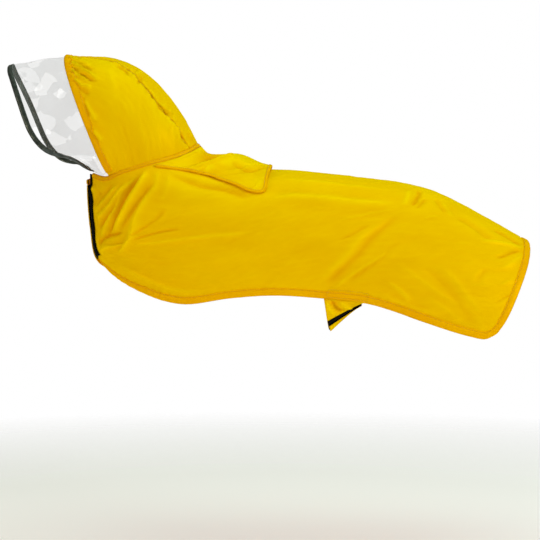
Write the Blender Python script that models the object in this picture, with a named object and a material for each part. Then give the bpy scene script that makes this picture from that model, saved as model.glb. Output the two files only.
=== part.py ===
"""Hooded dog raincoat with a clear peak, as it stands when worn, with nobody in it.

Run with: blender --background --python part.py

Tables and driving sizes are in millimetres, and the meshes are in metres. +Z is up and -X is
towards the nose, so the coat's left side is at -Y. The origin is on the wearer's back, under
the cloth just behind the neck flap.

Every panel is a grid of points: rows run over the body from the left edge to the right edge,
and columns run from the neck, or from the front of the hood, towards the tail.
"""

from collections import namedtuple

import bpy
import numpy as np

MM = 0.001

# Cloth and trims
CLOTH = 1.2
TRIM = 1.0
CLEAR_SHEET = 1.0
PEAK_TAPE = 2.2
SEAM_GAP = 0.5
NECK_SEAM_GAP = 0.9
GUSSET_GAP = 0.9

# Widths along the edges
HEM = 10.0
NECK_TAPE_FROM = 2.0
NECK_TAPE_TO = 6.5
CASING = 11.0
PEAK_TAPE_WIDTH = 7.0
FLAP_TAPE = 5.0
FLAP_TAPE_GAP = 0.8

# The front closure: two hook and loop strips between the lapped ends
STRIP = 32.0
LAP_LEFT = 12.0
LAP_RIGHT = -2.0
LIFT_NECK = 8.0
LIFT_FOOT = 5.0
LIFT_REACH = 70.0
RIGHT_CORNER_DROP = 10.0

BODY_ROWS = 34
LAPPED_ROWS = 8
NECK_LINES = 3
BODY_COLUMNS = 17
STRIP_LINES = 4
HOOD_ROWS = 13
SIDE_COLUMNS = 10
GUSSET_COLUMNS = 5
PEAK_ROWS = 8
PEAK_COLUMNS = 30
FLAP_ROWS = 12
FLAP_COLUMNS = 12
STRAP_COLUMNS = 6
STRAP_STEPS = 30

# A section runs from its top, on the centre line, down to its low end on each side. wide is its
# largest half width, reached at the share drop of the way down. turn is how far its flank has
# turned in at the low end, and 90 closes it at the front. bow pushes its sides backwards and
# down, and dip does the same beside the closure alone. lap is 1 where the ends are lapped.
Section = namedtuple(
    "Section", "place top_x top_z low_x low_y low_z wide drop turn bow dip lap"
)
BODY = (
    Section("neck seam", -108, 39, -267, 0, -4, 70, 0.50, 90, 14, 6, 1),
    Section("collar", -93, 23, -266.5, 0, -46, 85, 0.48, 90, 9, 2, 1),
    Section("breast", -70, 9, -264, 0, -88, 95, 0.46, 90, 5, 0, 1),
    Section("closure foot", -43, 2, -258, 1, -129, 101, 0.46, 88, 1, 0, 1),
    Section("front hem", -20, 0.5, -238, 27, -152, 103, 0.46, 76, 0, 0, 0),
    Section("shoulder", 2, 0.5, -195, 60, -178, 105, 0.48, 60, 0, 0, 0),
    Section("elbow", 32, 0, -126, 93, -198, 106, 0.52, 38, 0, 0, 0),
    Section("ribs", 64, -3, -57, 102, -189.5, 106, 0.58, 25, 0, 0, 0),
    Section("waist", 95, -6, 0, 101, -185.5, 103, 0.64, 20, 0, 0, 0),
    Section("strap front", 130, -10, 76, 93, -190, 97, 0.70, 20, 0, 0, 0),
    Section("strap back", 163, -14, 137, 91, -197, 94, 0.76, 18, 0, 0, 0),
    Section("flank", 205, -20, 190, 93, -212.5, 94, 0.82, 15, 0, 0, 0),
    Section("thigh", 250, -32.5, 240, 95, -230.5, 95.5, 0.86, 15, 0, 0, 0),
    Section("rump", 296, -55.5, 285, 96, -244, 96.5, 0.88, 15, 2, 0, 0),
    Section("tail corner", 342, -81, 309, 95, -248, 95.5, 0.90, 15, 4, 0, 0),
    Section("tail hem", 385, -106, 326, 92, -239.5, 92.5, 0.92, 15, 5, 0, 0),
)
LAST_LAPPED = 3
DIP_PLACE = 0.86
DIP_SPREAD = 0.10

# The hood's low ends all lie on the neck seam, so a row gives only their x.
HoodSection = namedtuple("HoodSection", "place top_x top_z low_x wide drop turn bow seam")
HOOD = (
    HoodSection("front edge", -306, 170, -236.0, 69, 0.55, 35, -4, 17),
    HoodSection("forehead", -269, 169.5, -234.5, 74, 0.55, 38, -2, 21),
    HoodSection("crown", -229, 166, -232.5, 78, 0.54, 40, 0, 34),
    HoodSection("back crown", -193, 150, -230.5, 79, 0.53, 42, 2, 50),
    HoodSection("poll", -161, 122, -228.0, 78, 0.52, 45, 4, 63),
    HoodSection("nape", -131.5, 83, -225.5, 74, 0.51, 48, 6, 54),
)
NECK_LOW_X = -223.0
NECK_SEAM_HALF = 40.0

# Outline of the clear peak's front edge down the left side, from its tip to the closure
PeakPoint = namedtuple("PeakPoint", "x y z")
PEAK = (
    PeakPoint(-390, 0, 156.5),
    PeakPoint(-390, -13, 153),
    PeakPoint(-388, -27, 144),
    PeakPoint(-379, -43, 122),
    PeakPoint(-369.5, -55, 98),
    PeakPoint(-359.5, -63, 71),
    PeakPoint(-351, -66, 51),
    PeakPoint(-340, -67, 34),
    PeakPoint(-326, -65, 21),
    PeakPoint(-312, -59, 15),
    PeakPoint(-297, -49, 13),
    PeakPoint(-285, -37, 8),
    PeakPoint(-276, -22, 2),
    PeakPoint(-270, -10, 0),
)
PEAK_LOW_Z = -9.0
PEAK_CROWN = 1.5
# Its low edge hangs inside the neck, from the hood's end to just short of the closure.
PEAK_SAG = 8.0
PEAK_TUCK = 7.5
PEAK_SAG_FROM = 0.75
PEAK_SAG_END = 0.8

# The neck flap lies over the back: half is its half width over the cloth, ridge is how far its
# fold stands off the cloth, and edge is the same at its free sides. The fold is nearest to the
# neck at the sides, by FLAP_RAKE, and the end is cut square across the back, so its sides reach
# further along the leaning sections than its middle, by FLAP_SKEW.
FlapRow = namedtuple("FlapRow", "along half ridge edge")
FLAP = (
    FlapRow(7.2, 117, 1.0, 1.0),
    FlapRow(20, 99.5, 3.0, 2.0),
    FlapRow(34, 89, 8.0, 2.5),
    FlapRow(50, 85.5, 16.0, 3.0),
    FlapRow(68, 91.5, 20.5, 3.5),
    FlapRow(86, 98.5, 18.5, 3.5),
    FlapRow(104, 106.5, 11.0, 3.0),
    FlapRow(123, 112.5, 5.5, 3.0),
)
FLAP_CORNER = 19.0
FLAP_RAKE = 34.0
FLAP_SKEW = 29.0

# The belly strap hangs below the hem. left_x and right_x are where an edge of it leaves the left
# and the right hem, dip is how far its middle is below its sewn ends, and shift is how far the
# middle is towards the tail. Places along it are shares of its half turn from the left hem, at
# 0, to the right hem, at 1.
StrapEdge = namedtuple("StrapEdge", "left_x right_x dip shift")
STRAP = (StrapEdge(77, 87, 49, 7), StrapEdge(137, 141, 3, -6))
STRAP_SEWN = 12.0
STRAP_LEFT_SPAN = (0.0, 0.65)
STRAP_RIGHT_SPAN = (0.31, 1.0)
STRAP_LOOP_SPAN = (0.25, 0.57)
STRAP_HOOK_SPAN = (0.32, 0.57)
LAYER_GAP = 0.3
STRAP_TUCK_SPAN = (0.64, 0.86)

# The largest creases, as ridges (+) and troughs (-) along lines seen from the side
Fold = namedtuple("Fold", "side x0 z0 x1 z1 height half_width")
LEFT, RIGHT = -1, 1
FOLDS = (
    Fold(LEFT, -252, -118, -188, 2, 3.0, 9),
    Fold(LEFT, -246, -124, -168, -20, -3.0, 9),
    Fold(LEFT, -234, -108, -160, -18, 2.5, 10),
    Fold(LEFT, -226, -110, -60, -62, -2.5, 14),
    Fold(LEFT, -196, -92, -20, -84, 3.0, 16),
    Fold(LEFT, 86, -176, 196, -64, -3.5, 14),
    Fold(LEFT, 104, -182, 186, -116, 3.0, 12),
    Fold(LEFT, 244, -90, 296, -206, -2.5, 16),
    Fold(LEFT, 290, -150, 312, -214, 2.5, 12),
    Fold(RIGHT, -250, -116, -178, 0, 3.0, 10),
    Fold(RIGHT, -244, -122, -150, -24, -3.0, 11),
    Fold(RIGHT, -228, -112, -40, -70, -2.5, 15),
    Fold(RIGHT, -190, -98, 10, -92, 3.0, 17),
    Fold(RIGHT, 96, -174, 190, -84, -3.5, 15),
    Fold(RIGHT, 116, -182, 188, -124, 2.5, 12),
    Fold(RIGHT, 236, -96, 286, -200, -3.0, 16),
    Fold(RIGHT, 282, -140, 318, -196, 2.5, 13),
)
HOOD_FOLDS = (
    Fold(LEFT, -188, 118, -122, 50, -3.0, 9),
    Fold(LEFT, -276, 132, -240, 116, -2.5, 9),
    Fold(LEFT, -150, 92, -118, 56, 3.0, 8),
    Fold(RIGHT, -192, 114, -128, 52, -3.0, 9),
    Fold(RIGHT, -280, 124, -238, 104, -2.5, 9),
)

# colour, roughness, alpha
YELLOW = ("yellow_cloth", (0.78, 0.46, 0.005), 0.35, 1.0)
YELLOW_TRIM = ("yellow_trim", (0.80, 0.36, 0.004), 0.40, 1.0)
BLACK = ("black_strip", (0.006, 0.006, 0.008), 0.9, 1.0)
GREY = ("grey_tape", (0.045, 0.055, 0.06), 0.45, 1.0)
CLEAR = ("clear_sheet", (0.92, 0.94, 0.96), 0.08, 0.25)


# ---------------------------------------------------------------- curves and grids

def arc_lengths(points):
    steps = np.linalg.norm(np.diff(points, axis=0), axis=1)
    return np.concatenate([[0.0], np.cumsum(steps)])


def at_arcs(points, arcs):
    """Points at these distances along a polyline."""
    along = arc_lengths(points)
    return np.stack([np.interp(arcs, along, points[:, k]) for k in range(3)], axis=1)


def through(knots, curves, at):
    """A smooth curve through curves[i] at knots[i], read at the values at."""
    knots = np.asarray(knots, float)
    gaps = np.diff(knots).reshape((-1,) + (1,) * (curves.ndim - 1))
    slopes = np.diff(curves, axis=0) / gaps
    inner = (slopes[:-1] * gaps[1:] + slopes[1:] * gaps[:-1]) / (gaps[:-1] + gaps[1:])
    tangents = np.concatenate([slopes[:1], inner, slopes[-1:]])
    spot = np.clip(np.searchsorted(knots, at, side="right") - 1, 0, len(knots) - 2)
    gap = np.diff(knots)[spot]
    u = ((at - knots[spot]) / gap).reshape((-1,) + (1,) * (curves.ndim - 1))
    gap = gap.reshape(u.shape)
    return (
        (2 * u**3 - 3 * u**2 + 1) * curves[spot]
        + (u**3 - 2 * u**2 + u) * gap * tangents[spot]
        + (3 * u**2 - 2 * u**3) * curves[spot + 1]
        + (u**3 - u**2) * gap * tangents[spot + 1]
    )


def knots_of(curves):
    """Knots spaced as the ends and the middles of the curves are."""
    middle = curves.shape[1] // 2
    picked = curves[:, [0, middle, -1]]
    steps = np.linalg.norm(np.diff(picked, axis=0), axis=2).mean(axis=1)
    return np.concatenate([[0.0], np.cumsum(steps)])


def mirrored(points):
    return points * np.array([1.0, -1.0, 1.0])


def normals_of(grid):
    """Unit normals of a grid, pointing away from the wearer."""
    across = np.gradient(grid, axis=1)
    along = np.gradient(grid, axis=0)
    normals = np.cross(along, across)
    return normals / np.linalg.norm(normals, axis=2, keepdims=True)


def smooth(x):
    x = np.clip(x, 0.0, 1.0)
    return x * x * (3 - 2 * x)


def with_folds(grid, folds):
    """The grid with each fold pushed out along the normals on its own side."""
    height = np.zeros(grid.shape[:2])
    for fold in folds:
        start = np.array([fold.x0, fold.z0], float)
        line = np.array([fold.x1, fold.z1], float) - start
        length = np.hypot(*line)
        line /= length
        offset = grid[:, :, [0, 2]] - start
        along = offset @ line / length
        aside = offset @ np.array([-line[1], line[0]])
        taper = smooth(along * 4) * smooth((1 - along) * 4)
        facing = smooth(fold.side * grid[:, :, 1] / 30)
        height += fold.height * taper * facing * np.exp(-((aside / fold.half_width) ** 2))
    return grid + normals_of(grid) * height[:, :, None]


# ---------------------------------------------------------------- objects

def material(kind):
    name, colour, roughness, alpha = kind
    made = bpy.data.materials.get(name)
    if made:
        return made
    made = bpy.data.materials.new(name)
    made.use_nodes = True
    shader = made.node_tree.nodes["Principled BSDF"]
    shader.inputs["Base Color"].default_value = (*colour, 1.0)
    shader.inputs["Roughness"].default_value = roughness
    shader.inputs["Alpha"].default_value = alpha
    made.diffuse_color = (*colour, alpha)
    return made


def sheet(name, grid, thickness, kind, outwards=False):
    """A grid of points as a wall. The grid is its outer face, or its inner one with outwards."""
    rows, columns = grid.shape[:2]
    index = np.arange(rows * columns).reshape(rows, columns)
    faces = np.stack(
        [index[:-1, :-1], index[1:, :-1], index[1:, 1:], index[:-1, 1:]], axis=2
    ).reshape(-1, 4)
    mesh = bpy.data.meshes.new(name)
    mesh.from_pydata((grid.reshape(-1, 3) * MM).tolist(), [], faces.tolist())
    mesh.materials.append(material(kind))
    mesh.shade_smooth()
    made = bpy.data.objects.new(name, mesh)
    bpy.context.scene.collection.objects.link(made)
    wall = made.modifiers.new("wall", "SOLIDIFY")
    wall.thickness = thickness * MM
    wall.offset = 1.0 if outwards else -1.0
    return made


# ---------------------------------------------------------------- body panel

def half_curve(row, samples=48):
    """Points down the left side of a section, from its top to its low end."""
    crown = np.radians(np.linspace(0, 90, samples))
    flank = np.radians(np.linspace(0, row.turn, samples))[1:]
    share = np.concatenate(
        [
            row.drop * (1 - np.cos(crown)),
            row.drop + (1 - row.drop) * np.sin(flank) / np.sin(flank[-1]),
        ]
    )
    tuck = (1 - np.cos(flank)) / (1 - np.cos(flank[-1]))
    out = np.concatenate(
        [row.wide * np.sin(crown), row.wide - (row.wide - row.low_y) * tuck]
    )
    top = np.array([row.top_x, row.top_z], float)
    fall = np.array([row.low_x, row.low_z], float) - top
    back = np.array([-fall[1], fall[0]]) / np.hypot(*fall)
    bow = row.bow * (1 - (2 * share - 1) ** 4)
    bow += row.dip * np.exp(-(((share - DIP_PLACE) / DIP_SPREAD) ** 2))
    flat = top + share[:, None] * fall + bow[:, None] * back
    return np.stack([flat[:, 0], -out, flat[:, 1]], axis=1)


def lapped(points, lap):
    """A left half curve carried on past the centre line by lap, or cut short of it."""
    length = arc_lengths(points)[-1]
    whole = np.concatenate([points, mirrored(points[::-1])[1:]])
    arcs = np.linspace(0, length + lap, len(points))
    return at_arcs(whole, arcs)


def edge_arcs(length, columns):
    """Distances from a section's low end, with lines at the hem and at the strip's edge."""
    near_edge = np.array([0.0, HEM, 0.62 * STRIP, STRIP])
    rest = np.linspace(STRIP, length, columns - STRIP_LINES + 1)[1:]
    return np.concatenate([near_edge, rest])


def body_curves(columns=BODY_COLUMNS):
    curves = []
    for row in BODY:
        base = half_curve(row)
        left = lapped(base, LAP_LEFT * row.lap)[::-1]
        right = mirrored(lapped(base, LAP_RIGHT * row.lap))
        arcs_left = edge_arcs(arc_lengths(left)[-1], columns)
        length = arc_lengths(right)[-1]
        arcs_right = length - edge_arcs(length, columns)[::-1]
        curves.append(
            np.concatenate([at_arcs(left, arcs_left), at_arcs(right, arcs_right)[1:]])
        )
    return np.array(curves)


CURVES = body_curves()
KNOTS = knots_of(CURVES)
LAP_END = KNOTS[LAST_LAPPED]


def body_grid():
    """The body panel's outer face, with lines at the neck tape's edges and at the hem."""
    dense_at = np.linspace(0, KNOTS[-1], 321)
    dense = through(KNOTS, CURVES, dense_at)
    lapped_part = np.linspace(22, LAP_END, LAPPED_ROWS)
    rest = np.linspace(LAP_END, KNOTS[-1] - 26, BODY_ROWS - LAPPED_ROWS + 1)[1:]
    inside = np.concatenate([lapped_part, rest])
    columns = []
    for number in range(dense.shape[1]):
        column = dense[:, number]
        along = arc_lengths(column)
        from_right = dense.shape[1] - 1 - number
        start = RIGHT_CORNER_DROP * (1 - smooth(from_right / STRIP_LINES))
        neck = start + np.array([0.0, NECK_TAPE_FROM, NECK_TAPE_TO])
        tail = along[-1] - np.array([HEM, 0.0])
        arcs = np.concatenate([neck, np.interp(inside, dense_at, along), tail])
        columns.append(at_arcs(column, arcs))
    grid = np.stack(columns, axis=1)
    height = LIFT_NECK + (LIFT_FOOT - LIFT_NECK) * smooth(inside / LAP_END)
    height *= 1 - smooth((inside - LAP_END + 4) / 45)
    height = np.concatenate([np.full(NECK_LINES, LIFT_NECK), height, [0, 0]])
    to_right = np.stack([arc_lengths(r[::-1])[::-1] for r in grid])
    lift = (1 - smooth((to_right - 16) / LIFT_REACH)) * height[:, None]
    grid = grid + normals_of(grid) * lift[:, :, None]
    return with_folds(grid, FOLDS)


def body_point(t, arc):
    """A point of the body's outer face. arc runs from the back's centre line."""
    curve = through(KNOTS, CURVES, np.array([t]))[0]
    middle = arc_lengths(curve)[len(curve) // 2]
    return at_arcs(curve, np.array([middle + arc]))[0]


def body_spot(t, arc):
    """A point of the body's outer face, and its normal."""
    across = body_point(t, arc + 3) - body_point(t, arc - 3)
    back = body_point(t + 2, arc) - body_point(max(t - 2, 0), arc)
    normal = np.cross(back, across)
    return body_point(t, arc), normal / np.linalg.norm(normal)


def body_pieces(grid):
    normals = normals_of(grid)
    laid = grid + normals * SEAM_GAP
    sheet("body_panel", grid, CLOTH, YELLOW)
    sheet("neck_tape", laid[1:3, STRIP_LINES:], TRIM, YELLOW_TRIM, outwards=True)

    foot = NECK_LINES + LAPPED_ROWS
    sheet("chest_loop_strip", laid[:foot, :STRIP_LINES], TRIM, BLACK, outwards=True)
    under = grid - normals * (CLOTH + SEAM_GAP)
    sheet("chest_hook_strip", under[NECK_LINES:foot, -STRIP_LINES:], TRIM, BLACK)
    hem_tape(laid, foot)


def hem_tape(laid, foot):
    """The turned hem as one band: down the left side, round the tail and up the right side."""
    left = laid[foot:-1, :2]
    right = laid[foot:-1, -2:][::-1, ::-1]
    corner_left = laid[-1, 0], laid[-2, 1]
    corner_right = laid[-1, -1], laid[-2, -2]
    tail = np.stack([laid[-1, 1:-1], laid[-2, 1:-1]], axis=1)
    outer = np.concatenate(
        [left[:, 0], [corner_left[0]], tail[:, 0], [corner_right[0]], right[:, 0]]
    )
    inner = np.concatenate(
        [left[:, 1], [corner_left[1]], tail[:, 1], [corner_right[1]], right[:, 1]]
    )
    band = np.stack([outer, inner], axis=1)
    sheet("hem_tape", band, TRIM, YELLOW_TRIM, outwards=True)


# ---------------------------------------------------------------- hood

def neck_half():
    """The left half of the neck seam, from the nape to the front."""
    return half_curve(BODY[0], samples=90)


def neck_point(x):
    seam = neck_half()
    spot = np.argmax(seam[:, 0] <= x)
    share = (x - seam[spot - 1, 0]) / (seam[spot, 0] - seam[spot - 1, 0])
    return seam[spot - 1] + share * (seam[spot] - seam[spot - 1])


def hood_half(row):
    low = neck_point(row.low_x)
    section = Section(
        row.place, row.top_x, row.top_z, low[0], -low[1], low[2],
        row.wide, row.drop, row.turn, row.bow, 0, 0,
    )
    return half_curve(section)


def hood_curves():
    """The hood's sections, each as a list of points from its left low end to its right one."""
    seam = neck_half()
    kept = seam[: np.argmax(seam[:, 0] <= NECK_LOW_X)]
    halves = [hood_half(row) for row in HOOD]
    halves.append(np.concatenate([kept, [neck_point(NECK_LOW_X)]]))
    seams = [row.seam for row in HOOD] + [NECK_SEAM_HALF]
    curves = []
    for half, seam_half in zip(halves, seams):
        length = arc_lengths(half)[-1]
        top = np.linspace(0, seam_half, GUSSET_COLUMNS)
        side = np.linspace(seam_half, length, SIDE_COLUMNS + 1)
        left = at_arcs(half, np.concatenate([top, side]))[::-1]
        curves.append(np.concatenate([left, mirrored(left[:-1])[::-1]]))
    return np.array(curves)


def hood_grid():
    """The hood's outer face, with a line at the back of the front casing."""
    curves = hood_curves()
    knots = knots_of(curves)
    dense_at = np.linspace(0, knots[-1], 241)
    dense = through(knots, curves, dense_at)
    inside = np.linspace(0.12, 0.92, HOOD_ROWS) * knots[-1]
    columns = []
    for number in range(dense.shape[1]):
        column = dense[:, number]
        along = arc_lengths(column)
        casing = min(CASING, 0.4 * np.interp(inside[0], dense_at, along) + 1.0)
        middle = np.interp(inside, dense_at, along)
        last = along[-1] - min(NECK_SEAM_GAP, 0.05 * along[-1])
        arcs = np.concatenate([[0.0, casing], middle, [last]])
        columns.append(at_arcs(column, arcs))
    grid = np.stack(columns, axis=1)
    grid[:, [0, -1]] += np.array([0.0, 0.0, NECK_SEAM_GAP])
    return with_folds(grid, HOOD_FOLDS)


def inset_last_column(panel, gap):
    """The panel with its last column drawn back by gap."""
    step = panel[:, -2] - panel[:, -1]
    step /= np.linalg.norm(step, axis=1, keepdims=True)
    kept = panel.copy()
    kept[:, -1] += step * gap
    return kept


def hood_pieces(grid):
    left_seam = SIDE_COLUMNS
    right_seam = grid.shape[1] - 1 - SIDE_COLUMNS
    left = inset_last_column(grid[:, : left_seam + 1], GUSSET_GAP)
    right = inset_last_column(grid[:, right_seam:][:, ::-1], GUSSET_GAP)[:, ::-1]
    sheet("hood_side_left", left, CLOTH, YELLOW)
    sheet("hood_side_right", right, CLOTH, YELLOW)
    sheet("hood_gusset", grid[:, left_seam + 1 : right_seam], CLOTH, YELLOW)
    laid = grid + normals_of(grid) * SEAM_GAP
    sheet("hood_casing", laid[:2, 1:-1], TRIM, YELLOW_TRIM, outwards=True)


# ---------------------------------------------------------------- clear peak

def peak_grid():
    """The clear peak's outer face, from its own front edge to the hood's front edge."""
    rear = hood_half(HOOD[0])
    rear = rear[: np.argmax(rear[:, 2] <= PEAK_LOW_Z)]
    outline = np.array(PEAK, float)
    knots = arc_lengths(outline)
    front = through(knots, outline, np.linspace(0, knots[-1], 120))
    shares = np.linspace(0, 1, PEAK_COLUMNS // 2 + 1)
    rear = at_arcs(rear, shares * arc_lengths(rear)[-1])
    front = at_arcs(front, shares * arc_lengths(front)[-1])
    ruling = front - rear
    length = np.linalg.norm(ruling, axis=1)
    last = 1 - PEAK_TAPE_WIDTH / length
    first = 1.5 * SEAM_GAP / length
    spread = np.linspace(0, 1, PEAK_ROWS)[:, None]
    at = np.concatenate([first + spread * (last - first), [np.ones_like(last)]])
    at = at[::-1]
    half = rear + at[:, :, None] * ruling
    low = smooth((shares - PEAK_SAG_FROM) / (1 - PEAK_SAG_FROM))
    hang = np.sin(np.pi * np.clip(at / PEAK_SAG_END, 0, 1))
    half[:, :, 1] += PEAK_TUCK * low * hang
    half[:, :, 2] -= PEAK_SAG * low * hang**2
    whole = np.concatenate([half[:, ::-1], mirrored(half[:, 1:])], axis=1)
    crown = PEAK_CROWN * np.sin(np.pi * at) * smooth((1 - shares) * 4)
    crown = np.concatenate([crown[:, ::-1], crown[:, 1:]], axis=1)
    return whole + normals_of(whole) * crown[:, :, None]


def peak_pieces(grid):
    clear = grid[1:].copy()
    step = clear[1] - clear[0]
    clear[0] += step / np.linalg.norm(step, axis=1, keepdims=True) * SEAM_GAP
    sheet("peak", clear, CLEAR_SHEET, CLEAR)
    tape = grid[:2] + normals_of(grid)[:2] * (PEAK_TAPE - CLEAR_SHEET) / 2
    sheet("peak_tape", tape, PEAK_TAPE, GREY)


# ---------------------------------------------------------------- neck flap

def flap_grid():
    """The flap's outer face, standing off the back, with a line at its edge tape."""
    table = np.array(FLAP, float)
    start, end = table[0, 0], table[-1, 0]
    reaches = np.append(np.linspace(start, end - FLAP_TAPE, FLAP_ROWS), end)
    shares = np.linspace(0, 1, FLAP_COLUMNS // 2 + 1)
    grid = []
    for reach in reaches:
        half, ridge, edge = through(table[:, 0], table[:, 1:], np.array([reach]))[0]
        past = max(FLAP_CORNER - (end - reach), 0)
        side = half - FLAP_CORNER + np.sqrt(FLAP_CORNER**2 - past**2)
        places = np.append(shares * (side - FLAP_TAPE), side)
        row = []
        for place in np.concatenate([-places[::-1], places[1:]]):
            share = abs(place) / half
            raked = np.clip(reach + FLAP_RAKE * share, start, end)
            fold = through(table[:, 0], table[:, 2:3], np.array([raked]))[0, 0]
            rise = smooth((reach - start) / 30)
            lift = edge + (fold * rise - edge) * (1 - smooth(share))
            skewed = reach + FLAP_SKEW * share**2 * (reach - start) / (end - start)
            here, normal = body_spot(np.interp(skewed, SPINE_ARCS, SPINE_AT), place)
            row.append(here + normal * (max(lift, 1.0) + CLOTH))
        grid.append(row)
    return np.array(grid)


SPINE_AT = np.linspace(0, KNOTS[-1], 161)
SPINE_ARCS = arc_lengths(through(KNOTS, CURVES, SPINE_AT)[:, CURVES.shape[1] // 2])


def flap_pieces(grid):
    sheet("back_flap", grid, CLOTH, YELLOW)
    laid = grid + normals_of(grid) * FLAP_TAPE_GAP
    outer = np.concatenate([laid[:-1, 0], laid[-1, :], laid[:-1, -1][::-1]])
    corner_left, corner_right = laid[-2, 1], laid[-2, -2]
    inner = np.concatenate(
        [laid[:-1, 1], [corner_left], laid[-2, 1:-1], [corner_right], laid[:-1, -2][::-1]]
    )
    band = np.stack([outer, inner], axis=1)
    sheet("flap_tape", band, TRIM, YELLOW_TRIM, outwards=True)


# ---------------------------------------------------------------- belly strap

def strap_root(hem_x):
    """The left hem's point at hem_x on the inside, after two points further up the cloth."""
    low_xs = through(KNOTS, CURVES, SPINE_AT)[:, 0, 0]
    t = np.interp(hem_x, low_xs, SPINE_AT)
    curve = through(KNOTS, CURVES, np.array([t]))[0]
    to_edge = arc_lengths(curve)[CURVES.shape[1] // 2]
    inside = CLOTH + 2 * SEAM_GAP
    sewn = []
    for arc in (STRAP_SEWN, 0.5 * STRAP_SEWN, 0.0):
        here, normal = body_spot(t, arc - to_edge)
        sewn.append(here - normal * inside)
    return np.array(sewn)


def strap_edge(share, span):
    """The strap's path at a share of its width, over a span of places."""
    front, back = np.array(STRAP, float)
    left_x, right_x, dip, shift = front + share * (back - front)
    left = strap_root(left_x)
    right = mirrored(strap_root(right_x))[::-1]
    places = np.linspace(*span, max(4, int(STRAP_STEPS * (span[1] - span[0]))))
    turn = np.pi * places[:, None]
    path = 0.5 * ((1 + np.cos(turn)) * left[-1] + (1 - np.cos(turn)) * right[0])
    path += np.sin(turn) * np.array([shift, 0.0, -dip])
    if span[0] == 0:
        path = np.concatenate([left[:-1], path])
    if span[1] == 1:
        path = np.concatenate([path, right[1:]])
    return path


def strap_grid(span):
    """The strap's outer face over a span of places, with its sewn end where it reaches one."""
    shares = np.linspace(0, 1, STRAP_COLUMNS)
    return np.stack([strap_edge(share, span) for share in shares], axis=1)


def strap_pieces():
    """Two straps that lap under the belly, with the hook and loop strips between them."""
    sheet("strap_left", strap_grid(STRAP_LEFT_SPAN), CLOTH, YELLOW)
    grid = strap_grid(STRAP_LOOP_SPAN)
    grid += normals_of(grid) * LAYER_GAP
    sheet("strap_loop_strip", grid, TRIM, BLACK, outwards=True)
    out = 2 * LAYER_GAP + TRIM
    grid = strap_grid(STRAP_HOOK_SPAN)
    grid += normals_of(grid) * out
    sheet("strap_hook_strip", grid, TRIM, BLACK, outwards=True)

    out += LAYER_GAP + TRIM
    grid = strap_grid(STRAP_RIGHT_SPAN)
    places = np.append(np.linspace(*STRAP_RIGHT_SPAN, len(grid) - 2), [1.0, 1.0])
    start, end = STRAP_TUCK_SPAN
    tuck = smooth((places - start) / (end - start))
    grid += normals_of(grid) * (out - tuck * (out + CLOTH))[:, None, None]
    sheet("strap_right", grid, CLOTH, YELLOW, outwards=True)


def build():
    for old in list(bpy.data.objects):
        bpy.data.objects.remove(old)
    body_pieces(body_grid())
    hood_pieces(hood_grid())
    peak_pieces(peak_grid())
    flap_pieces(flap_grid())
    strap_pieces()


build()
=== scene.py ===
"""The looks of a hooded dog raincoat, standing in its worn shape with nobody in it.

Tables and sizes are in millimetres, and the meshes are in metres. +Z is up, -X is towards the
nose and the coat's left side is at -Y. Each cloth piece is a fine grid of points on the form of
its CAD solid, given its creases and puckers, and made a thin shell.
"""

import math
from collections import namedtuple

import bmesh
import bpy
import numpy as np
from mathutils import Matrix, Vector
from mathutils.bvhtree import BVHTree


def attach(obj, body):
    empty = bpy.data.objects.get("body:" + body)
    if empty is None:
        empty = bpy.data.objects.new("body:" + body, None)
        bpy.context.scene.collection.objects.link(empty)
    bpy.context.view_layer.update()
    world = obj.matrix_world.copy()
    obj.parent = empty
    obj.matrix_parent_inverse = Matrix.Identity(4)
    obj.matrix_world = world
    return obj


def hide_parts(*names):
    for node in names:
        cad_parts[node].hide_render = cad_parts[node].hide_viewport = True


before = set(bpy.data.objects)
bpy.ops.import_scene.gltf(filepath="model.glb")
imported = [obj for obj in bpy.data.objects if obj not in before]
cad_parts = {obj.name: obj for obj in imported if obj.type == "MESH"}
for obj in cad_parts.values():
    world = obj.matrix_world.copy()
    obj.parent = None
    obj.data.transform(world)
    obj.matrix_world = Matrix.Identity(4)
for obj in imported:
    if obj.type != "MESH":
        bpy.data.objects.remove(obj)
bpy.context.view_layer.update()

MM = 0.001

# Cloth, and widths along the edges
CLOTH = 0.7
CLEAR_SHEET = 0.5
HEM = 10.0
NECK_TAPE = 6.5
CASING = 11.0
PEAK_TAPE = 7.0
FLAP_TAPE = 4.0
EDGE_INSET = 1.5
SEAM_GAP = 0.5
# How far in from an edge its cloth is looked for, and the steps along an edge's band
PROBE = 4.0
BAND_STEP = 2.0

# The front closure
STRIP = 32.0
STRIP_THICK = 1.0
PILE_THICK = 0.8
LAP_LEFT = 12.0
LAP_RIGHT = -2.0
RIGHT_CORNER_DROP = 10.0
# The right end lies on the strips, lifted this much at the neck and at the foot.
LIFTS = (8.0, 5.0)

# Ramps, each with its start and its length. The lift fades away in from the right edge, and
# behind the lap's foot. Folds stay off the closure's edges, and the hem's puckers behind it.
LIFT_RAMP = (16.0, 70.0)
FOOT_RAMP = (-4.0, 45.0)
EDGE_RAMP = (10.0, 16.0)
BEHIND_RAMP = (-240.0, 30.0)

# Fineness of the grids. Rows lie closer near the neck, and columns near the edges.
ROWS_EASE = 0.35
COLUMNS_EASE = 0.25
SECTION_POINTS = 160
BODY_SAMPLES = 421
HOOD_SAMPLES = 321
SPINE_SAMPLES = 241
OUTLINE_SAMPLES = 240
BODY_ROWS = 228
BODY_HALF = 100
HOOD_ROWS = 96
SIDE_COLUMNS = 72
GUSSET_COLUMNS = 26
PEAK_ROWS = 44
PEAK_HALF = 70
FLAP_ROWS = 56
FLAP_HALF = 52
STRAP_COLUMNS = 26


def table(kind, *rows):
    """Rows of numbers as named rows of one kind."""
    return [kind(*row) for row in rows]


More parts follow.
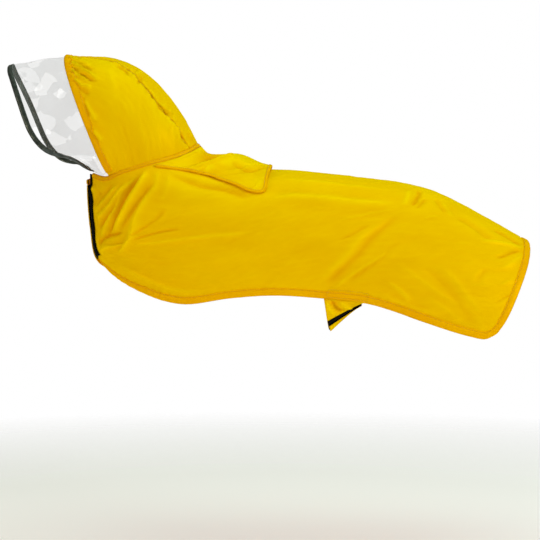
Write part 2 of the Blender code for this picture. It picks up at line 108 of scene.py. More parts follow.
# A section runs from its top, on the centre line, down to its low end on each side.
Section = namedtuple(
    "Section", "place top_x top_z low_x low_y low_z wide drop turn bow dip lap"
)
BODY = table(
    Section,
    ("neck seam", -108, 39, -267, 0, -4, 70, 0.50, 90, 14, 6, 1),
    ("collar", -93, 23, -266.5, 0, -46, 85, 0.48, 90, 9, 2, 1),
    ("breast", -70, 9, -264, 0, -88, 95, 0.46, 90, 5, 0, 1),
    ("closure foot", -43, 2, -258, 1, -129, 101, 0.46, 88, 1, 0, 1),
    ("front hem", -20, 0.5, -238, 27, -152, 103, 0.46, 76, 0, 0, 0),
    ("shoulder", 2, 0.5, -195, 60, -178, 105, 0.48, 60, 0, 0, 0),
    ("elbow", 32, 0, -126, 93, -198, 106, 0.52, 38, 0, 0, 0),
    ("ribs", 64, -3, -57, 102, -189.5, 106, 0.58, 25, 0, 0, 0),
    ("waist", 95, -6, 0, 101, -185.5, 103, 0.64, 20, 0, 0, 0),
    ("strap front", 130, -10, 76, 93, -190, 97, 0.70, 20, 0, 0, 0),
    ("strap back", 163, -14, 137, 91, -197, 94, 0.76, 18, 0, 0, 0),
    ("flank", 205, -20, 190, 93, -212.5, 94, 0.82, 15, 0, 0, 0),
    ("thigh", 250, -32.5, 240, 95, -230.5, 95.5, 0.86, 15, 0, 0, 0),
    ("rump", 296, -55.5, 285, 96, -244, 96.5, 0.88, 15, 2, 0, 0),
    ("tail corner", 342, -81, 309, 95, -248, 95.5, 0.90, 15, 4, 0, 0),
    ("tail hem", 385, -106, 326, 92, -239.5, 92.5, 0.92, 15, 5, 0, 0),
)
LAST_LAPPED = 3
DIP_PLACE = 0.86
DIP_SPREAD = 0.10

HoodSection = namedtuple("HoodSection", "place top_x top_z low_x wide drop turn bow seam")
HOOD = table(
    HoodSection,
    ("front edge", -306, 170, -236, 69, 0.55, 35, -4, 17),
    ("forehead", -269, 169.5, -234.5, 74, 0.55, 38, -2, 21),
    ("crown", -229, 166, -232.5, 78, 0.54, 40, 0, 34),
    ("back crown", -193, 150, -230.5, 79, 0.53, 42, 2, 50),
    ("poll", -161, 122, -228, 78, 0.52, 45, 4, 63),
    ("nape", -131.5, 83, -225.5, 74, 0.51, 48, 6, 54),
)
NECK_LOW_X = -223.0
NECK_SEAM_HALF = 40.0

# Outline of the clear peak's front edge down the left side
PEAK = (
    (-390, 0, 156.5),
    (-390, -13, 153),
    (-388, -27, 144),
    (-379, -43, 122),
    (-369.5, -55, 98),
    (-359.5, -63, 71),
    (-351, -66, 51),
    (-340, -67, 34),
    (-326, -65, 21),
    (-312, -59, 15),
    (-297, -49, 13),
    (-285, -37, 8),
    (-276, -22, 2),
    (-270, -10, 0),
)
PEAK_LOW_Z = -9.0
PEAK_CROWN = 1.5
# Its low edge hangs inside the neck, from the hood's end to just short of the closure.
PEAK_SAG = 8.0
PEAK_TUCK = 7.5
PEAK_SAG_RAMP = (0.75, 0.25)
PEAK_SAG_END = 0.8

FlapRow = namedtuple("FlapRow", "along half ridge edge")
FLAP = table(
    FlapRow,
    (7.2, 117, 1, 1),
    (20, 99.5, 3, 2),
    (34, 89, 8, 2.5),
    (50, 85.5, 16, 3),
    (68, 91.5, 20.5, 3.5),
    (86, 98.5, 18.5, 3.5),
    (104, 106.5, 11, 3),
    (123, 112.5, 5.5, 3),
)
FLAP_CORNER = 19.0
FLAP_CLOSE = 0.55
CREST_EASE = 0.2
FLAP_RAKE = 34.0
FLAP_SKEW = 29.0
FLAP_RISE = 30.0
FLAP_LEAST = 1.0
# Its folds fade away towards the centre line, and stay off the body.
FLAP_FOLD_RAMP = (12.0, 34.0)
FLAP_NEAREST = 0.4

StrapEdge = namedtuple("StrapEdge", "left_x right_x dip shift")
STRAP = (StrapEdge(77, 87, 49, 7), StrapEdge(137, 141, 3, -6))
STRAP_SEWN = 12.0
STRAP_LEFT_SPAN = (0.0, 0.65)
STRAP_RIGHT_SPAN = (0.31, 1.0)
STRAP_LOOP_SPAN = (0.25, 0.57)
STRAP_HOOK_SPAN = (0.32, 0.57)
LAYER_GAP = 0.3
STRAP_TUCK_RAMP = (0.64, 0.22)
STRAP_SAMPLES = 110
# How far up from the hem's edge the strap's box of stitches starts and ends
BOX_HEIGHTS = (2.0, 13.5)

# Creases as ridges (+) and troughs (-) along lines on the laid out cloth. across runs from the
# centre line, with the left side below 0, and along runs from the front edge. bend bows a line.
Crease = namedtuple("Crease", "across0 along0 across1 along1 bend height width")
BODY_CREASES = table(
    Crease,
    (-276, 34, -228, 18, -1.5, 2.8, 4),
    (-276, 52, -214, 22, -2.5, -2.6, 4.5),
    (-278, 61, -172, 18, -2.1, 3.1, 4.2),
    (-264, 51, -183, 15, -2.3, -3.1, 4.2),
    (-282, 70, -161, 21, -0.2, 5.6, 4.2),
    (-293, 83, -158, 23, 0.5, -5.1, 3.5),
    (-312, 103, -140, 15, -4, 5.6, 3.1),
    (-296, 98, -134, 15, -1, -6.1, 3.5),
    (-264, 85, -121, 9, 3.3, 6.6, 4.9),
    (-267, 92, -137, 34, 2.3, -3.1, 4.2),
    (-311, 148, -138, 39, -7.9, 4.1, 6.3),
    (-324, 110, -247, 90, -7.1, -5.6, 3.5),
    (-327, 119, -265, 118, -10.9, 3.5, 3.5),
    (-261, 101, -173, 78, 10.3, -2.5, 5.6),
    (-278, 131, -191, 251, -14, 2.3, 8.1),
    (-259, 115, -213, 153, -1.8, -2.7, 5.4),
    (-117, 18, -166, 58, -2, 1.6, 4.5),
    (-110, 28, -175, 74, -3.2, 1.2, 5),
    (-326, 165, -313, 325, 11, 2, 8),
    (-115, 31, -128, 165, -10.5, -4, 11),
    (-114, 180, -80, 375, 3.2, 3.5, 16.2),
    (-65, 143, -48, 322, 4.3, 1.6, 4.5),
    (-84, 375, -142, 342, -2.1, 1.5, 4.5),
    (-89, 384, -256, 507, 5.4, -2.9, 9.9),
    (-122, 392, -248, 489, 6.5, 1.5, 9),
    (-253, 519, -147, 463, -2.5, 2.1, 4.5),
    (-236, 523, -139, 457, -1.3, -1.8, 5.4),
    (-205, 547, -218, 624, -3.2, 2.2, 3.5),
    (-174, 394, -131, 386, 4.7, -1.5, 5),
    (-28, 349, -77, 381, 1.3, -4.8, 4),
    (-39, 340, -81, 375, 0.7, 3, 4.5),
    (-50, 373, -78, 390, 0.4, -3, 3.5),
    (-90, 417, -74, 424, -0.6, 1.7, 3),
    (-43, 383, -66, 424, 1.3, -2.2, 4),
    (-44, 394, -69, 440, 1, 1.8, 3.5),
    (-48, 483, -47, 537, -2.1, -3.8, 5.5),
    (-82, 505, -53, 543, -2.5, 3, 7),
    (-98, 564, -55, 546, 0.2, -3.3, 5),
    (-109, 592, -67, 563, 1.2, 1.8, 4.5),
    (-172, 503, -186, 662, 2.8, 1, 6),
    (-159, 518, -202, 726, -3.4, -1.2, 8),
    (-145, 534, -197, 745, -1.7, 1.4, 9),
    (-196, 613, -206, 715, -0.4, 1, 6),
    (-221, 575, -215, 657, -1.5, -0.9, 6),
    (-175, 646, -197, 751, -1.2, -0.9, 4.5),
    (-132, 632, -109, 625, 0.2, 1.7, 3),
    (-157, 673, -135, 665, 0.8, -1.7, 3),
    (-118, 580, -149, 614, 0.7, -1.5, 3.5),
    (-62, 434, -75, 518, -2.3, -2.2, 8),
)
HOOD_CREASES = table(
    Crease,
    (-31, 8, -80, 46, 2.3, 5.3, 3.2),
    (-43, 5, -84, 40, 4.2, -4, 3.2),
    (-52, 7, -80, 31, 2.9, 4.4, 2.8),
    (-17, 2, -50, 40, -0.5, 4, 3.2),
    (-23, 5, -62, 43, 5, -3.4, 3.2),
    (-65, 6, -88, 17, 0.8, 3.7, 2.8),
    (-86, 11, -92, 31, -0.6, 3.8, 5),
    (-80, 9, -104, 24, 3.1, -2.7, 5),
    (-107, 13, -144, 22, 1.6, 3.5, 7),
    (-104, 11, -138, 11, -0.1, -2.7, 5),
    (-150, 9, -172, 20, 1.7, 3.2, 6),
    (-171, 6, -200, 10, 0.2, 2.4, 5),
    (-37, 75, -45, 105, -3.8, 3.5, 4),
    (-47, 81, -59, 108, -3.7, -3.2, 4),
    (-64, 110, -22, 121, 4.1, 4.1, 3.5),
    (-65, 121, -37, 129, 5.8, -3, 3.5),
    (-57, 146, -61, 172, -2.6, 3.5, 3.5),
    (-61, 172, -42, 200, 3.8, 3.8, 3.5),
    (-66, 174, -50, 205, 2.3, -3.2, 3.5),
    (-67, 195, -46, 233, -0.4, 3.2, 3.5),
    (-34, 232, -25, 249, -2.9, 4.1, 4),
    (-52, 227, -46, 246, -1.5, -2.7, 3.5),
)
FLAP_CREASES = table(
    Crease,
    (-94, 48, -9, 56, -0.6, 8, 6),
    (-104, 16, -20, 38, 3.7, -9, 15),
    (-93, 6, -31, 6, -2.3, 4, 5),
    (-24, 59, -32, 102, 14.3, 2.6, 6),
    (-46, 64, -61, 110, 5.6, -3.4, 7),
    (-91, 74, -67, 56, -1.1, 2.2, 4),
    (85, 80, -76, 84, -19, 2, 4),
    (90, 92, -83, 100, -12.2, -1.8, 4),
    (-104, 149, -77, 131, 2.8, 1.8, 4),
)
STRAP_CREASES = table(
    Crease,
    (-27, 14, -17, 42, 1, 2.5, 5),
    (-21, 12, -3, 42, 2.5, -4.5, 6),
    (-9, 13, 12, 38, -1, 3, 8),
)
# The shares of a crease that taper off at each end, and of its width on its steep side
CREASE_END = 0.22
STEEP_SIDE = 0.55
# How far a crease's echo moves, and how its size changes
ECHO_SHIFT = 5.0
ECHO_SIZES = (0.7, 1.2)
# Crests and valleys, for the painted highlight and painted shade in the cloth's colour, are told
# from the cloth evened over this far around them.
EVENED = 9.0
FLAP_EVENED = 26.0

# Soft ripples all over a cloth
Ripple = namedtuple("Ripple", "height seed count shortest longest")
BODY_RIPPLES = table(Ripple, (0.25, 3, 9, 45, 150), (0.10, 5, 12, 14, 34))
HOOD_RIPPLES = table(Ripple, (0.15, 31, 9, 40, 110), (0.12, 32, 12, 12, 30))
PEAK_RIPPLES = table(Ripple, (0.5, 41, 8, 28, 80), (0.2, 42, 10, 9, 20))
FLAP_RIPPLES = table(Ripple, (0.3, 51, 8, 24, 70), (0.12, 52, 10, 9, 22))

# Puckers along a sewn line: reach is how soon they fade into the cloth, and slant how they lean
Pucker = namedtuple("Pucker", "height reach slant seed closest widest")
LEFT_HEM_PUCKERS = Pucker(0.5, 9, 0.6, 11, 8, 20)
RIGHT_HEM_PUCKERS = LEFT_HEM_PUCKERS._replace(seed=12)
TAIL_PUCKERS = LEFT_HEM_PUCKERS._replace(seed=13)
NECK_PUCKERS = Pucker(0.5, 8, 0.8, 14, 7, 16)
LEFT_SEAM_PUCKERS = Pucker(1.5, 8, 0.5, 33, 8, 18)
RIGHT_SEAM_PUCKERS = LEFT_SEAM_PUCKERS._replace(seed=34)
CASING_GATHERS = Pucker(1.0, 22, 0.3, 35, 5, 10)
# The hem's puckers are deeper round the chest, and the gathers fuller towards the hood's top.
CHEST_X = -195.0
CHEST_BELL = (1.2, 45.0)
GATHERS = (0.4, 2.2)
GATHERS_RAMP = (90.0, 60.0)
CASING_RIPPLES = (0.3, 1.6)
CASING_RAMP = (100.0, 60.0)
# The grooves that the hem's stitches and the hood's seams press into the cloth: depth, width
HEM_GROOVE = (0.8, 1.6)
SEAM_GROOVE = (1.5, 1.9)
# Stitches: how far apart they start, and how long each is
LONG = (3.4, 2.3)
MEDIUM = (3.0, 2.1)
SHORT = (3.0, 2.0)
# Where an edge's stitches lie, in shares of its width
SEWN = 0.85
SEWN_DEEP = 0.87
PUCKER_STEP = 2.0
PUCKER_WANDER = 22.0


# ---------------- curves and grids

def arc_lengths(points):
    steps = np.linalg.norm(np.diff(points, axis=0), axis=1)
    return np.concatenate([[0.0], np.cumsum(steps)])


def at_arcs(points, arcs):
    """Points at these distances along a polyline."""
    along = arc_lengths(points)
    return np.stack([np.interp(arcs, along, points[:, k]) for k in range(3)], axis=1)


def through(knots, curves, at):
    """A smooth curve through curves[i] at knots[i], read at the values at."""
    knots = np.asarray(knots, float)
    spread = (-1,) + (1,) * (curves.ndim - 1)
    gaps = np.diff(knots).reshape(spread)
    slopes = np.diff(curves, axis=0) / gaps
    inner = (slopes[:-1] * gaps[1:] + slopes[1:] * gaps[:-1]) / (gaps[:-1] + gaps[1:])
    tangents = np.concatenate([slopes[:1], inner, slopes[-1:]])
    spot = np.clip(np.searchsorted(knots, at, side="right") - 1, 0, len(knots) - 2)
    gap = gaps[spot]
    u = (at - knots[spot]).reshape(spread) / gap
    return (
        (2 * u**3 - 3 * u**2 + 1) * curves[spot]
        + (u**3 - 2 * u**2 + u) * gap * tangents[spot]
        + (3 * u**2 - 2 * u**3) * curves[spot + 1]
        + (u**3 - u**2) * gap * tangents[spot + 1]
    )


def knots_of(curves):
    """Knots spaced as the ends and the middles of the curves are."""
    middle = curves.shape[1] // 2
    picked = curves[:, [0, middle, -1]]
    steps = np.linalg.norm(np.diff(picked, axis=0), axis=2).mean(axis=1)
    return np.concatenate([[0.0], np.cumsum(steps)])


def mirrored(points):
    return points * np.array([1.0, -1.0, 1.0])


def unit(vectors):
    return vectors / np.maximum(np.linalg.norm(vectors, axis=-1, keepdims=True), 1e-9)


def normals_of(grid):
    """Unit normals of a grid, pointing away from the wearer."""
    return unit(np.cross(np.gradient(grid, axis=0), np.gradient(grid, axis=1)))


def raised(grid, height):
    """A grid moved out along its normals."""
    return grid + normals_of(grid) * np.broadcast_to(height, grid.shape[:2])[:, :, None]


def from_edges(grid):
    """Distances over the cloth from its left edge and from its right one."""
    left = np.stack([arc_lengths(row) for row in grid])
    return left, np.stack([arc_lengths(row[::-1])[::-1] for row in grid])


def with_neighbours(values):
    """The inner values of a list, each evened with the two beside it."""
    return (values[:-2] + 2 * values[1:-1] + values[2:]) / 4


def smooth(x):
    x = np.clip(x, 0.0, 1.0)
    return x * x * (3 - 2 * x)


def ramp(x, start, length):
    """Rises smoothly from 0 to 1 over a length."""
    return smooth((x - start) / length)


def blend(ends, share):
    """Between two values, by a share."""
    return ends[0] + (ends[1] - ends[0]) * share


def bell(off, shape):
    """A rounded rise with this height and width."""
    height, width = shape
    return height * np.exp(-((off / width) ** 2))


def crease_heights(where, creases):
    """How far a table of creases lifts each place on a cloth."""
    height = np.zeros(where.shape[:2])
    for crease in creases:
        start = np.array([crease.across0, crease.along0], float)
        line = np.array([crease.across1, crease.along1], float) - start
        length = np.hypot(*line)
        line /= length
        offset = where[:, :, :2] - start
        along = offset @ line / length
        aside = offset @ np.array([-line[1], line[0]]) - crease.bend * 4 * along * (1 - along)
        taper = smooth(along / CREASE_END) * smooth((1 - along) / CREASE_END)
        width = crease.width * np.where(aside * crease.height < 0, STEEP_SIDE, 1.0)
        height += crease.height * taper * np.exp(1 - np.sqrt(1 + 4 * (aside / width) ** 2))
    return height


def echoed(creases, seed):
    """Similar creases for the other side: each a little moved, turned and resized."""
    draw = np.random.RandomState(seed)
    other = []
    for crease in creases:
        line = np.array([-1, 1, -1, 1]) * crease[:4] + ECHO_SHIFT * (2 * draw.rand(4) - 1)
        size = np.array(crease[5:]) * blend(ECHO_SIZES, draw.rand(2))
        other.append(Crease(*line, -crease.bend, *size))
    return other


def ripple_heights(where, ripples):
    """Soft uneven ripples of a cloth, each running its own way."""
    u, v = where[:, :, 0], where[:, :, 1]
    total = np.zeros_like(u)
    for row in ripples:
        draw = np.random.RandomState(row.seed)
        for _ in range(row.count):
            angle = math.pi * (draw.rand() - 0.5)
            length = row.shortest * (row.longest / row.shortest) ** draw.rand()
            phase = 2 * math.pi * draw.rand()
            turns = (u * math.cos(angle) + v * math.sin(angle)) / length
            total += row.height * np.sin(2 * math.pi * turns + phase) / math.sqrt(row.count / 2)
    return total


def fold_heights(where, creases, seed, ripples):
    """A cloth's creases on the left, their echoes on the right, and its ripples."""
    height = crease_heights(where, creases + echoed(creases, seed))
    return height + ripple_heights(where, ripples)


def puckers(along, seed, closest, widest):
    """Uneven gathers along a seam, of about unit height, whose spacing and depth wander."""
    draw = np.random.RandomState(seed)
    low, high = along.min() - 40, along.max() + 40
    stations = np.arange(low, high, PUCKER_STEP)
    knots = np.arange(low, high + 25, PUCKER_WANDER)
    pitch = np.interp(stations, knots, closest + (widest - closest) * draw.rand(len(knots)))
    depth = np.interp(stations, knots, 0.15 + 0.85 * draw.rand(len(knots)) ** 1.5)
    phase = np.cumsum(2 * math.pi * PUCKER_STEP / pitch)
    return np.interp(along, stations, depth) * np.sin(np.interp(along, stations, phase))


def pucker_heights(row, station, distance, sewn=0.0):
    """Puckers that run in from a line sewn at a distance from the edge, and fade."""
    fade = np.exp(-np.maximum(distance - sewn, 0) / row.reach)
    return row.height * fade * puckers(
        station + row.slant * distance, row.seed, row.closest, row.widest
    )


# ---------------- objects

def add_object(name, data, location=(0.0, 0.0, 0.0), rotation=(0.0, 0.0, 0.0)):
    made = bpy.data.objects.new(name, data)
    made.location = location
    made.rotation_euler = rotation
    bpy.context.scene.collection.objects.link(made)
    return made


def mesh_object(name, points, faces, materials, cloth=None):
    """A piece from its points in mm, with its places on the cloth for its material."""
    mesh = bpy.data.meshes.new(name)
    mesh.from_pydata((points.reshape(-1, 3) * MM).tolist(), [], faces)
    mesh.update()
    for one in materials:
        mesh.materials.append(one)
    mesh.shade_smooth()
    if cloth is not None:
        layer = mesh.attributes.new("cloth", "FLOAT_VECTOR", "POINT")
        layer.data.foreach_set("vector", cloth.astype(np.float32).ravel())
    made = add_object(name, mesh)
    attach(made, "root")
    return made


def grid_faces(grid):
    index = np.arange(grid.shape[0] * grid.shape[1]).reshape(grid.shape[:2])
    corners = [index[:-1, :-1], index[1:, :-1], index[1:, 1:], index[:-1, 1:]]
    return np.stack(corners, axis=2).reshape(-1, 4)


def tube_faces(tubes, rings, sides):
    """The faces of separate tubes of so many rings each, with both ends of each closed."""
    index = np.arange(tubes * rings * sides).reshape(tubes, rings, sides)
    after = np.roll(index, -1, axis=2)
    walls = np.stack([index[:, :-1], after[:, :-1], after[:, 1:], index[:, 1:]], axis=3)
    return walls.reshape(-1, 4).tolist() + index[:, 0, ::-1].tolist() + index[:, -1].tolist()


def cloth_coordinates(grid):
    """Distances over the cloth, across from its middle column and along from its first row."""
    across = from_edges(grid)[0]
    across -= across[:, [grid.shape[1] // 2]]
    along = from_edges(grid.swapaxes(0, 1))[0].T
    return np.stack([across, along, np.zeros_like(along)], axis=2)


def standing_of(grid, reach):
    """How far each place stands out from the evened cloth around it: crests up, valleys down."""
    even = grid.copy()
    step = np.linalg.norm(np.diff(grid, axis=0), axis=2).mean()
    for _ in range(int(2 * (reach / step) ** 2)):
        even[1:-1] = with_neighbours(even)
        even[:, 1:-1] = with_neighbours(even.swapaxes(0, 1)).swapaxes(0, 1)
    return ((grid - even) * normals_of(grid)).sum(axis=2)


def shell(name, grid, thickness, materials, outwards=False, reach=EVENED):
    """A grid as a thin cloth. The grid is its outer face, or its inner one with outwards."""
    where = cloth_coordinates(grid)
    # How far each place stands out goes to the material, for its painted shade in valleys and
    # painted highlight on crests
    where[:, :, 2] = standing_of(grid, reach)
    made = mesh_object(name, grid, grid_faces(grid).tolist(), materials, where)
    wall = made.modifiers.new("wall", "SOLIDIFY")
    wall.thickness = thickness * MM
    wall.offset = 1.0 if outwards else -1.0
    wall.material_offset = len(materials) - 1
    return made


class Surface:
    """A grid that trims and stitches can be laid on."""

    def __init__(self, grid):
        self.normals = normals_of(grid).reshape(-1, 3)
        self.faces = grid_faces(grid)
        points = [Vector(point) for point in grid.reshape(-1, 3)]
        self.tree = BVHTree.FromPolygons(points, self.faces.tolist())

    def nearest(self, points):
        """The nearest points of the surface, and the smooth normals there."""
        found, normals = [], []
        for point in points:
            place, _, face, _ = self.tree.find_nearest(Vector(point))
            found.append(place)
            normals.append(self.normals[self.faces[face]].mean(axis=0))
        return np.array(found), unit(np.array(normals))


def evened(path, step):
    """A path with its points spaced evenly, and its corners a little eased."""
    path = np.asarray(path, float)
    length = arc_lengths(path)[-1]
    even = at_arcs(path, np.linspace(0, length, int(length / step) + 1))
    for _ in range(3):
        even[1:-1] = with_neighbours(even)
    return even


def inward_of(path, surface):
    """Unit directions from an edge into its cloth, and the cloth's normals there."""
    _, normals = surface.nearest(path)
    inward = unit(np.cross(normals, np.gradient(path, axis=0)))
    misses = []
    for side in (inward, -inward):
        probe = path + side * PROBE
        misses.append(np.linalg.norm(surface.nearest(probe)[0] - probe, axis=1).mean())
    return (inward if misses[0] <= misses[1] else -inward), normals


# Across a turned edge, from its sewn side out to its fold: shares of the width, and how far
# the cloth stands up there. The stitches lie in the low line near the sewn side.
Profile = namedtuple("Profile", "places rises")
TURNED = Profile(
    np.array([1.0, 0.96, 0.91, 0.85, 0.79, 0.66, 0.48, 0.30, 0.14, 0.04]),
    np.array([-0.3, 0.75, 0.8, 0.1, 0.8, 1.0, 1.0, 0.95, 0.75, 0.45]),
)
FLAT = Profile(
    np.array([1.0, 0.96, 0.90, 0.84, 0.70, 0.54, 0.38, 0.22, 0.12, 0.04]),
    np.array([-0.3, 0.7, 0.7, 0.75, 0.95, 1.0, 1.0, 0.9, 0.7, 0.4]),
)


def band(
    name, path, surface, width, rise, material, ripple, seed, pitch, slant=0.6, profile=TURNED
):
    """A turned or bound edge: cloth folded round an edge path and sewn down with puckers."""
    path = evened(path, BAND_STEP)
    inward, normals = inward_of(path, surface)
    stations = arc_lengths(path)
    nose = path - inward * (0.5 + 0.7 * rise) - normals * (CLOTH / 2)
    outer, inner = [], []
    for place, lift in zip(profile.places, profile.rises):
        reach = place * width
        found, normals = surface.nearest(path + inward * reach)
        swell = puckers(stations + slant * reach, seed, *pitch) * ripple * (0.35 + 0.65 * place)
        outer.append(found + normals * (0.3 + rise * lift + swell)[:, None])
        inner.append(found - normals * (CLOTH + 0.3 + 0.5 * rise * abs(lift)))
    rings = np.stack(outer + [nose] + inner[::-1], axis=1)
    count, around = rings.shape[:2]
    where = np.zeros_like(rings)
    where[:, :, 0] = np.linspace(0, 2 * width, around)
    where[:, :, 1] = stations[:, None]
    made = mesh_object(name, rings, tube_faces(1, count, around), [material], where)
    outward_faces(made)
    return made


def round_edge(grid):
    """The path down a grid's left edge, along its last row and up its right edge."""
    return np.concatenate([grid[:, 0], grid[-1, 1:-1], grid[::-1, -1]])


def beside(path, surface, reach):
    """A path moved into the cloth from its edge."""
    path = evened(path, BAND_STEP)
    inward, _ = inward_of(path, surface)
    return surface.nearest(path + inward * reach)[0]


def outward_faces(made):
    """Turns a closed mesh's faces so that they face out."""
    work = bmesh.new()
    work.from_mesh(made.data)
    bmesh.ops.recalc_face_normals(work, faces=work.faces)
    work.to_mesh(made.data)
    work.free()


# A stitch's rings: how far along it, in shares of its length, and how thick
STITCH_RINGS = ((-0.5, 0.35), (-0.36, 1.0), (0.36, 1.0), (0.5, 0.35))
STITCH_SIDES = 6
STITCH_RADIUS = 0.32


def stitches(name, paths, surface, material, lift, size=LONG):
    """Rows of thread stitches along paths on a surface, as one mesh."""
    pitch, length = size
    turn = np.linspace(0, 2 * math.pi, STITCH_SIDES, endpoint=False)[:, None]
    rings = []
    for path in paths:
        middles = np.arange(pitch / 2, arc_lengths(path)[-1], pitch)
        found, normals = surface.nearest(at_arcs(path, middles))
        alongs = unit(at_arcs(path, middles + 0.5) - at_arcs(path, middles - 0.5))
        sides = unit(np.cross(normals, alongs))
        for centre, along, side in zip(found + normals * lift, alongs, sides):
            circle = side * np.cos(turn) + np.cross(along, side) * np.sin(turn)
            for end, size in STITCH_RINGS:
                rings.append(centre + along * end * length + circle * STITCH_RADIUS * size)
    faces = tube_faces(len(rings) // len(STITCH_RINGS), len(STITCH_RINGS), STITCH_SIDES)
    return mesh_object(name, np.concatenate(rings), faces, [material])


# ---------------- materials

class Nodes:
    """The nodes of a material or world, with short calls for those used here."""

    def __init__(self, owner, shader="Principled BSDF"):
        self.owner = owner
        owner.use_nodes = True
        self.tree = owner.node_tree
        self.shader = self.tree.nodes[shader]

    def put(self, socket, value):
        if isinstance(value, bpy.types.NodeSocket):
            self.tree.links.new(value, socket)
        elif socket.type == "RGBA":
            socket.default_value = (*value, 1.0)
        else:
            socket.default_value = value

    def set(self, **values):
        """Sets the shader's inputs, and gives back what it is the shader of."""
        for name, value in values.items():
            self.put(self.shader.inputs[name.replace("_", " ")], value)
        return self.owner

    def node(self, kind, inputs, output=0, **settings):
        """A new node's output, with its inputs and settings."""
        made = self.tree.nodes.new("ShaderNode" + kind)
        for key, value in settings.items():
            setattr(made, key, value)
        for key, value in inputs.items():
            self.put(made.inputs[key], value)
        return made.outputs[output]

    def cloth(self):
        return self.node("Attribute", {}, "Vector", attribute_name="cloth")

    def place(self, kind="Object"):
        return self.node("TexCoord", {}, kind)

    def noise(self, where, scale, detail=2.0, roughness=0.5, distortion=0.0):
        inputs = {"Vector": where, "Scale": scale, "Detail": detail}
        inputs.update({"Roughness": roughness, "Distortion": distortion})
        return self.node("TexNoise", inputs, "Fac")

    def wave(self, where, period, direction):
        inputs = {"Vector": where, "Scale": 2 * math.pi / (20 * period)}
        return self.node("TexWave", inputs, "Fac", bands_direction=direction)

    def math(self, operation, a, b):
        return self.node("Math", {0: a, 1: b}, operation=operation)

    def scaled(self, where, x, y, z=1.0):
        return self.node("Mapping", {"Vector": where, "Scale": (x, y, z)})

    def span(self, value, low, high, to_low=0.0, to_high=1.0):
        inputs = {"Value": value, "From Min": low, "From Max": high}
        inputs.update({"To Min": to_low, "To Max": to_high})
        return self.node("MapRange", inputs)

    def mix(self, share, first, second, **settings):
        """A colour between two, each a colour or a socket."""
        inputs = {0: share, 6: first, 7: second}
        return self.node("Mix", inputs, 2, data_type="RGBA", **settings)

    def bump(self, height, distance, strength=1.0, onto=None):
        inputs = {"Height": height, "Distance": distance * MM, "Strength": strength}
        if onto is not None:
            inputs["Normal"] = onto
        return self.node("Bump", inputs)


def material_nodes(name):
    return Nodes(bpy.data.materials.new(name))


def weave_bump(nodes, where, pitch, depth):
    """A plain weave: two crossed sets of threads."""
    crossed = nodes.math("MULTIPLY", nodes.wave(where, pitch, "X"), nodes.wave(where, pitch, "Y"))
    return nodes.bump(crossed, depth, 0.5)


def yellow_cloth(name, light, dark, roughness, crinkle):
    """Coated cloth: a fine weave with small crinkles, with painted shade making it deeper orange in
    its valleys and a painted highlight making it paler on its crests.
    """
    nodes = material_nodes(name)
    cloth = nodes.cloth()
    patches = nodes.noise(nodes.scaled(cloth, 1.0, 0.6), 0.018, 3.0)
    colour = nodes.mix(nodes.span(patches, 0.35, 0.65), dark, light)
    # Painted shade in the valleys and painted highlight on the crests, from how far the cloth
    # stands out
    standing = nodes.node("SeparateXYZ", {0: cloth}, "Z")
    painted_fold_shading = nodes.mix(nodes.span(standing, -FOLD_DEPTH, FOLD_DEPTH), VALLEY_PAINTED_SHADE, CREST_PAINTED_HIGHLIGHT)
    worn = nodes.noise(cloth, 0.05, 3.0)
    small = nodes.noise(nodes.scaled(cloth, 1.0, 0.7), 0.06, 4.0, 0.55)
    return nodes.set(
        Base_Color=nodes.mix(1.0, colour, painted_fold_shading, blend_type="MULTIPLY"),
        Roughness=nodes.span(worn, 0.3, 0.7, roughness - 0.05, roughness + 0.05),
        Normal=nodes.bump(small, crinkle, 1.0, weave_bump(nodes, cloth, 0.8, 0.05)),
        Metallic=0.06,
        Specular_IOR_Level=0.0,
        Specular_Tint=(1.0, 1.0, 0.0),
        Sheen_Weight=0.25,
        Sheen_Roughness=0.6,
        Sheen_Tint=(1.0, 1.0, 0.0),
    )


def thread(name, colour):
    """Twisted sewing thread."""
    nodes = material_nodes(name)
    shade = nodes.span(nodes.noise(nodes.place(), 300.0), 0.3, 0.7)
    return nodes.set(
        Base_Color=nodes.mix(shade, tuple(0.8 * c for c in colour), colour),
        Roughness=0.5,
        Normal=nodes.bump(nodes.wave(nodes.place(), 0.0006, "DIAGONAL"), 0.08),
    )


def black_strip(name):
    """Hook and loop strip: black pile."""
    nodes = material_nodes(name)
    clumps = nodes.span(nodes.noise(nodes.place(), 160.0), 0.35, 0.65)
    return nodes.set(
        Base_Color=nodes.mix(clumps, (0.001, 0.001, 0.001), (0.003, 0.003, 0.003)),
        Roughness=0.95,
        Normal=nodes.bump(nodes.noise(nodes.place(), 900.0, 4.0, 0.7), 0.8),
        Specular_IOR_Level=0.05,
    )


def grey_tape(name):
    """Reflective binding: fine silver-grey cloth."""
    nodes = material_nodes(name)
    cloth = nodes.cloth()
    tone = nodes.span(nodes.noise(nodes.scaled(cloth, 1.0, 0.25), 0.25, 4.0, 0.6), 0.35, 0.65)
    weave = weave_bump(nodes, cloth, 0.7, 0.06)
    return nodes.set(
        Base_Color=nodes.mix(tone, (0.034, 0.043, 0.041), (0.115, 0.13, 0.127)),
        Roughness=0.38,
        Metallic=0.9,
        Normal=nodes.bump(nodes.noise(cloth, 0.25, 3.0), 0.5, 1.0, weave),
    )


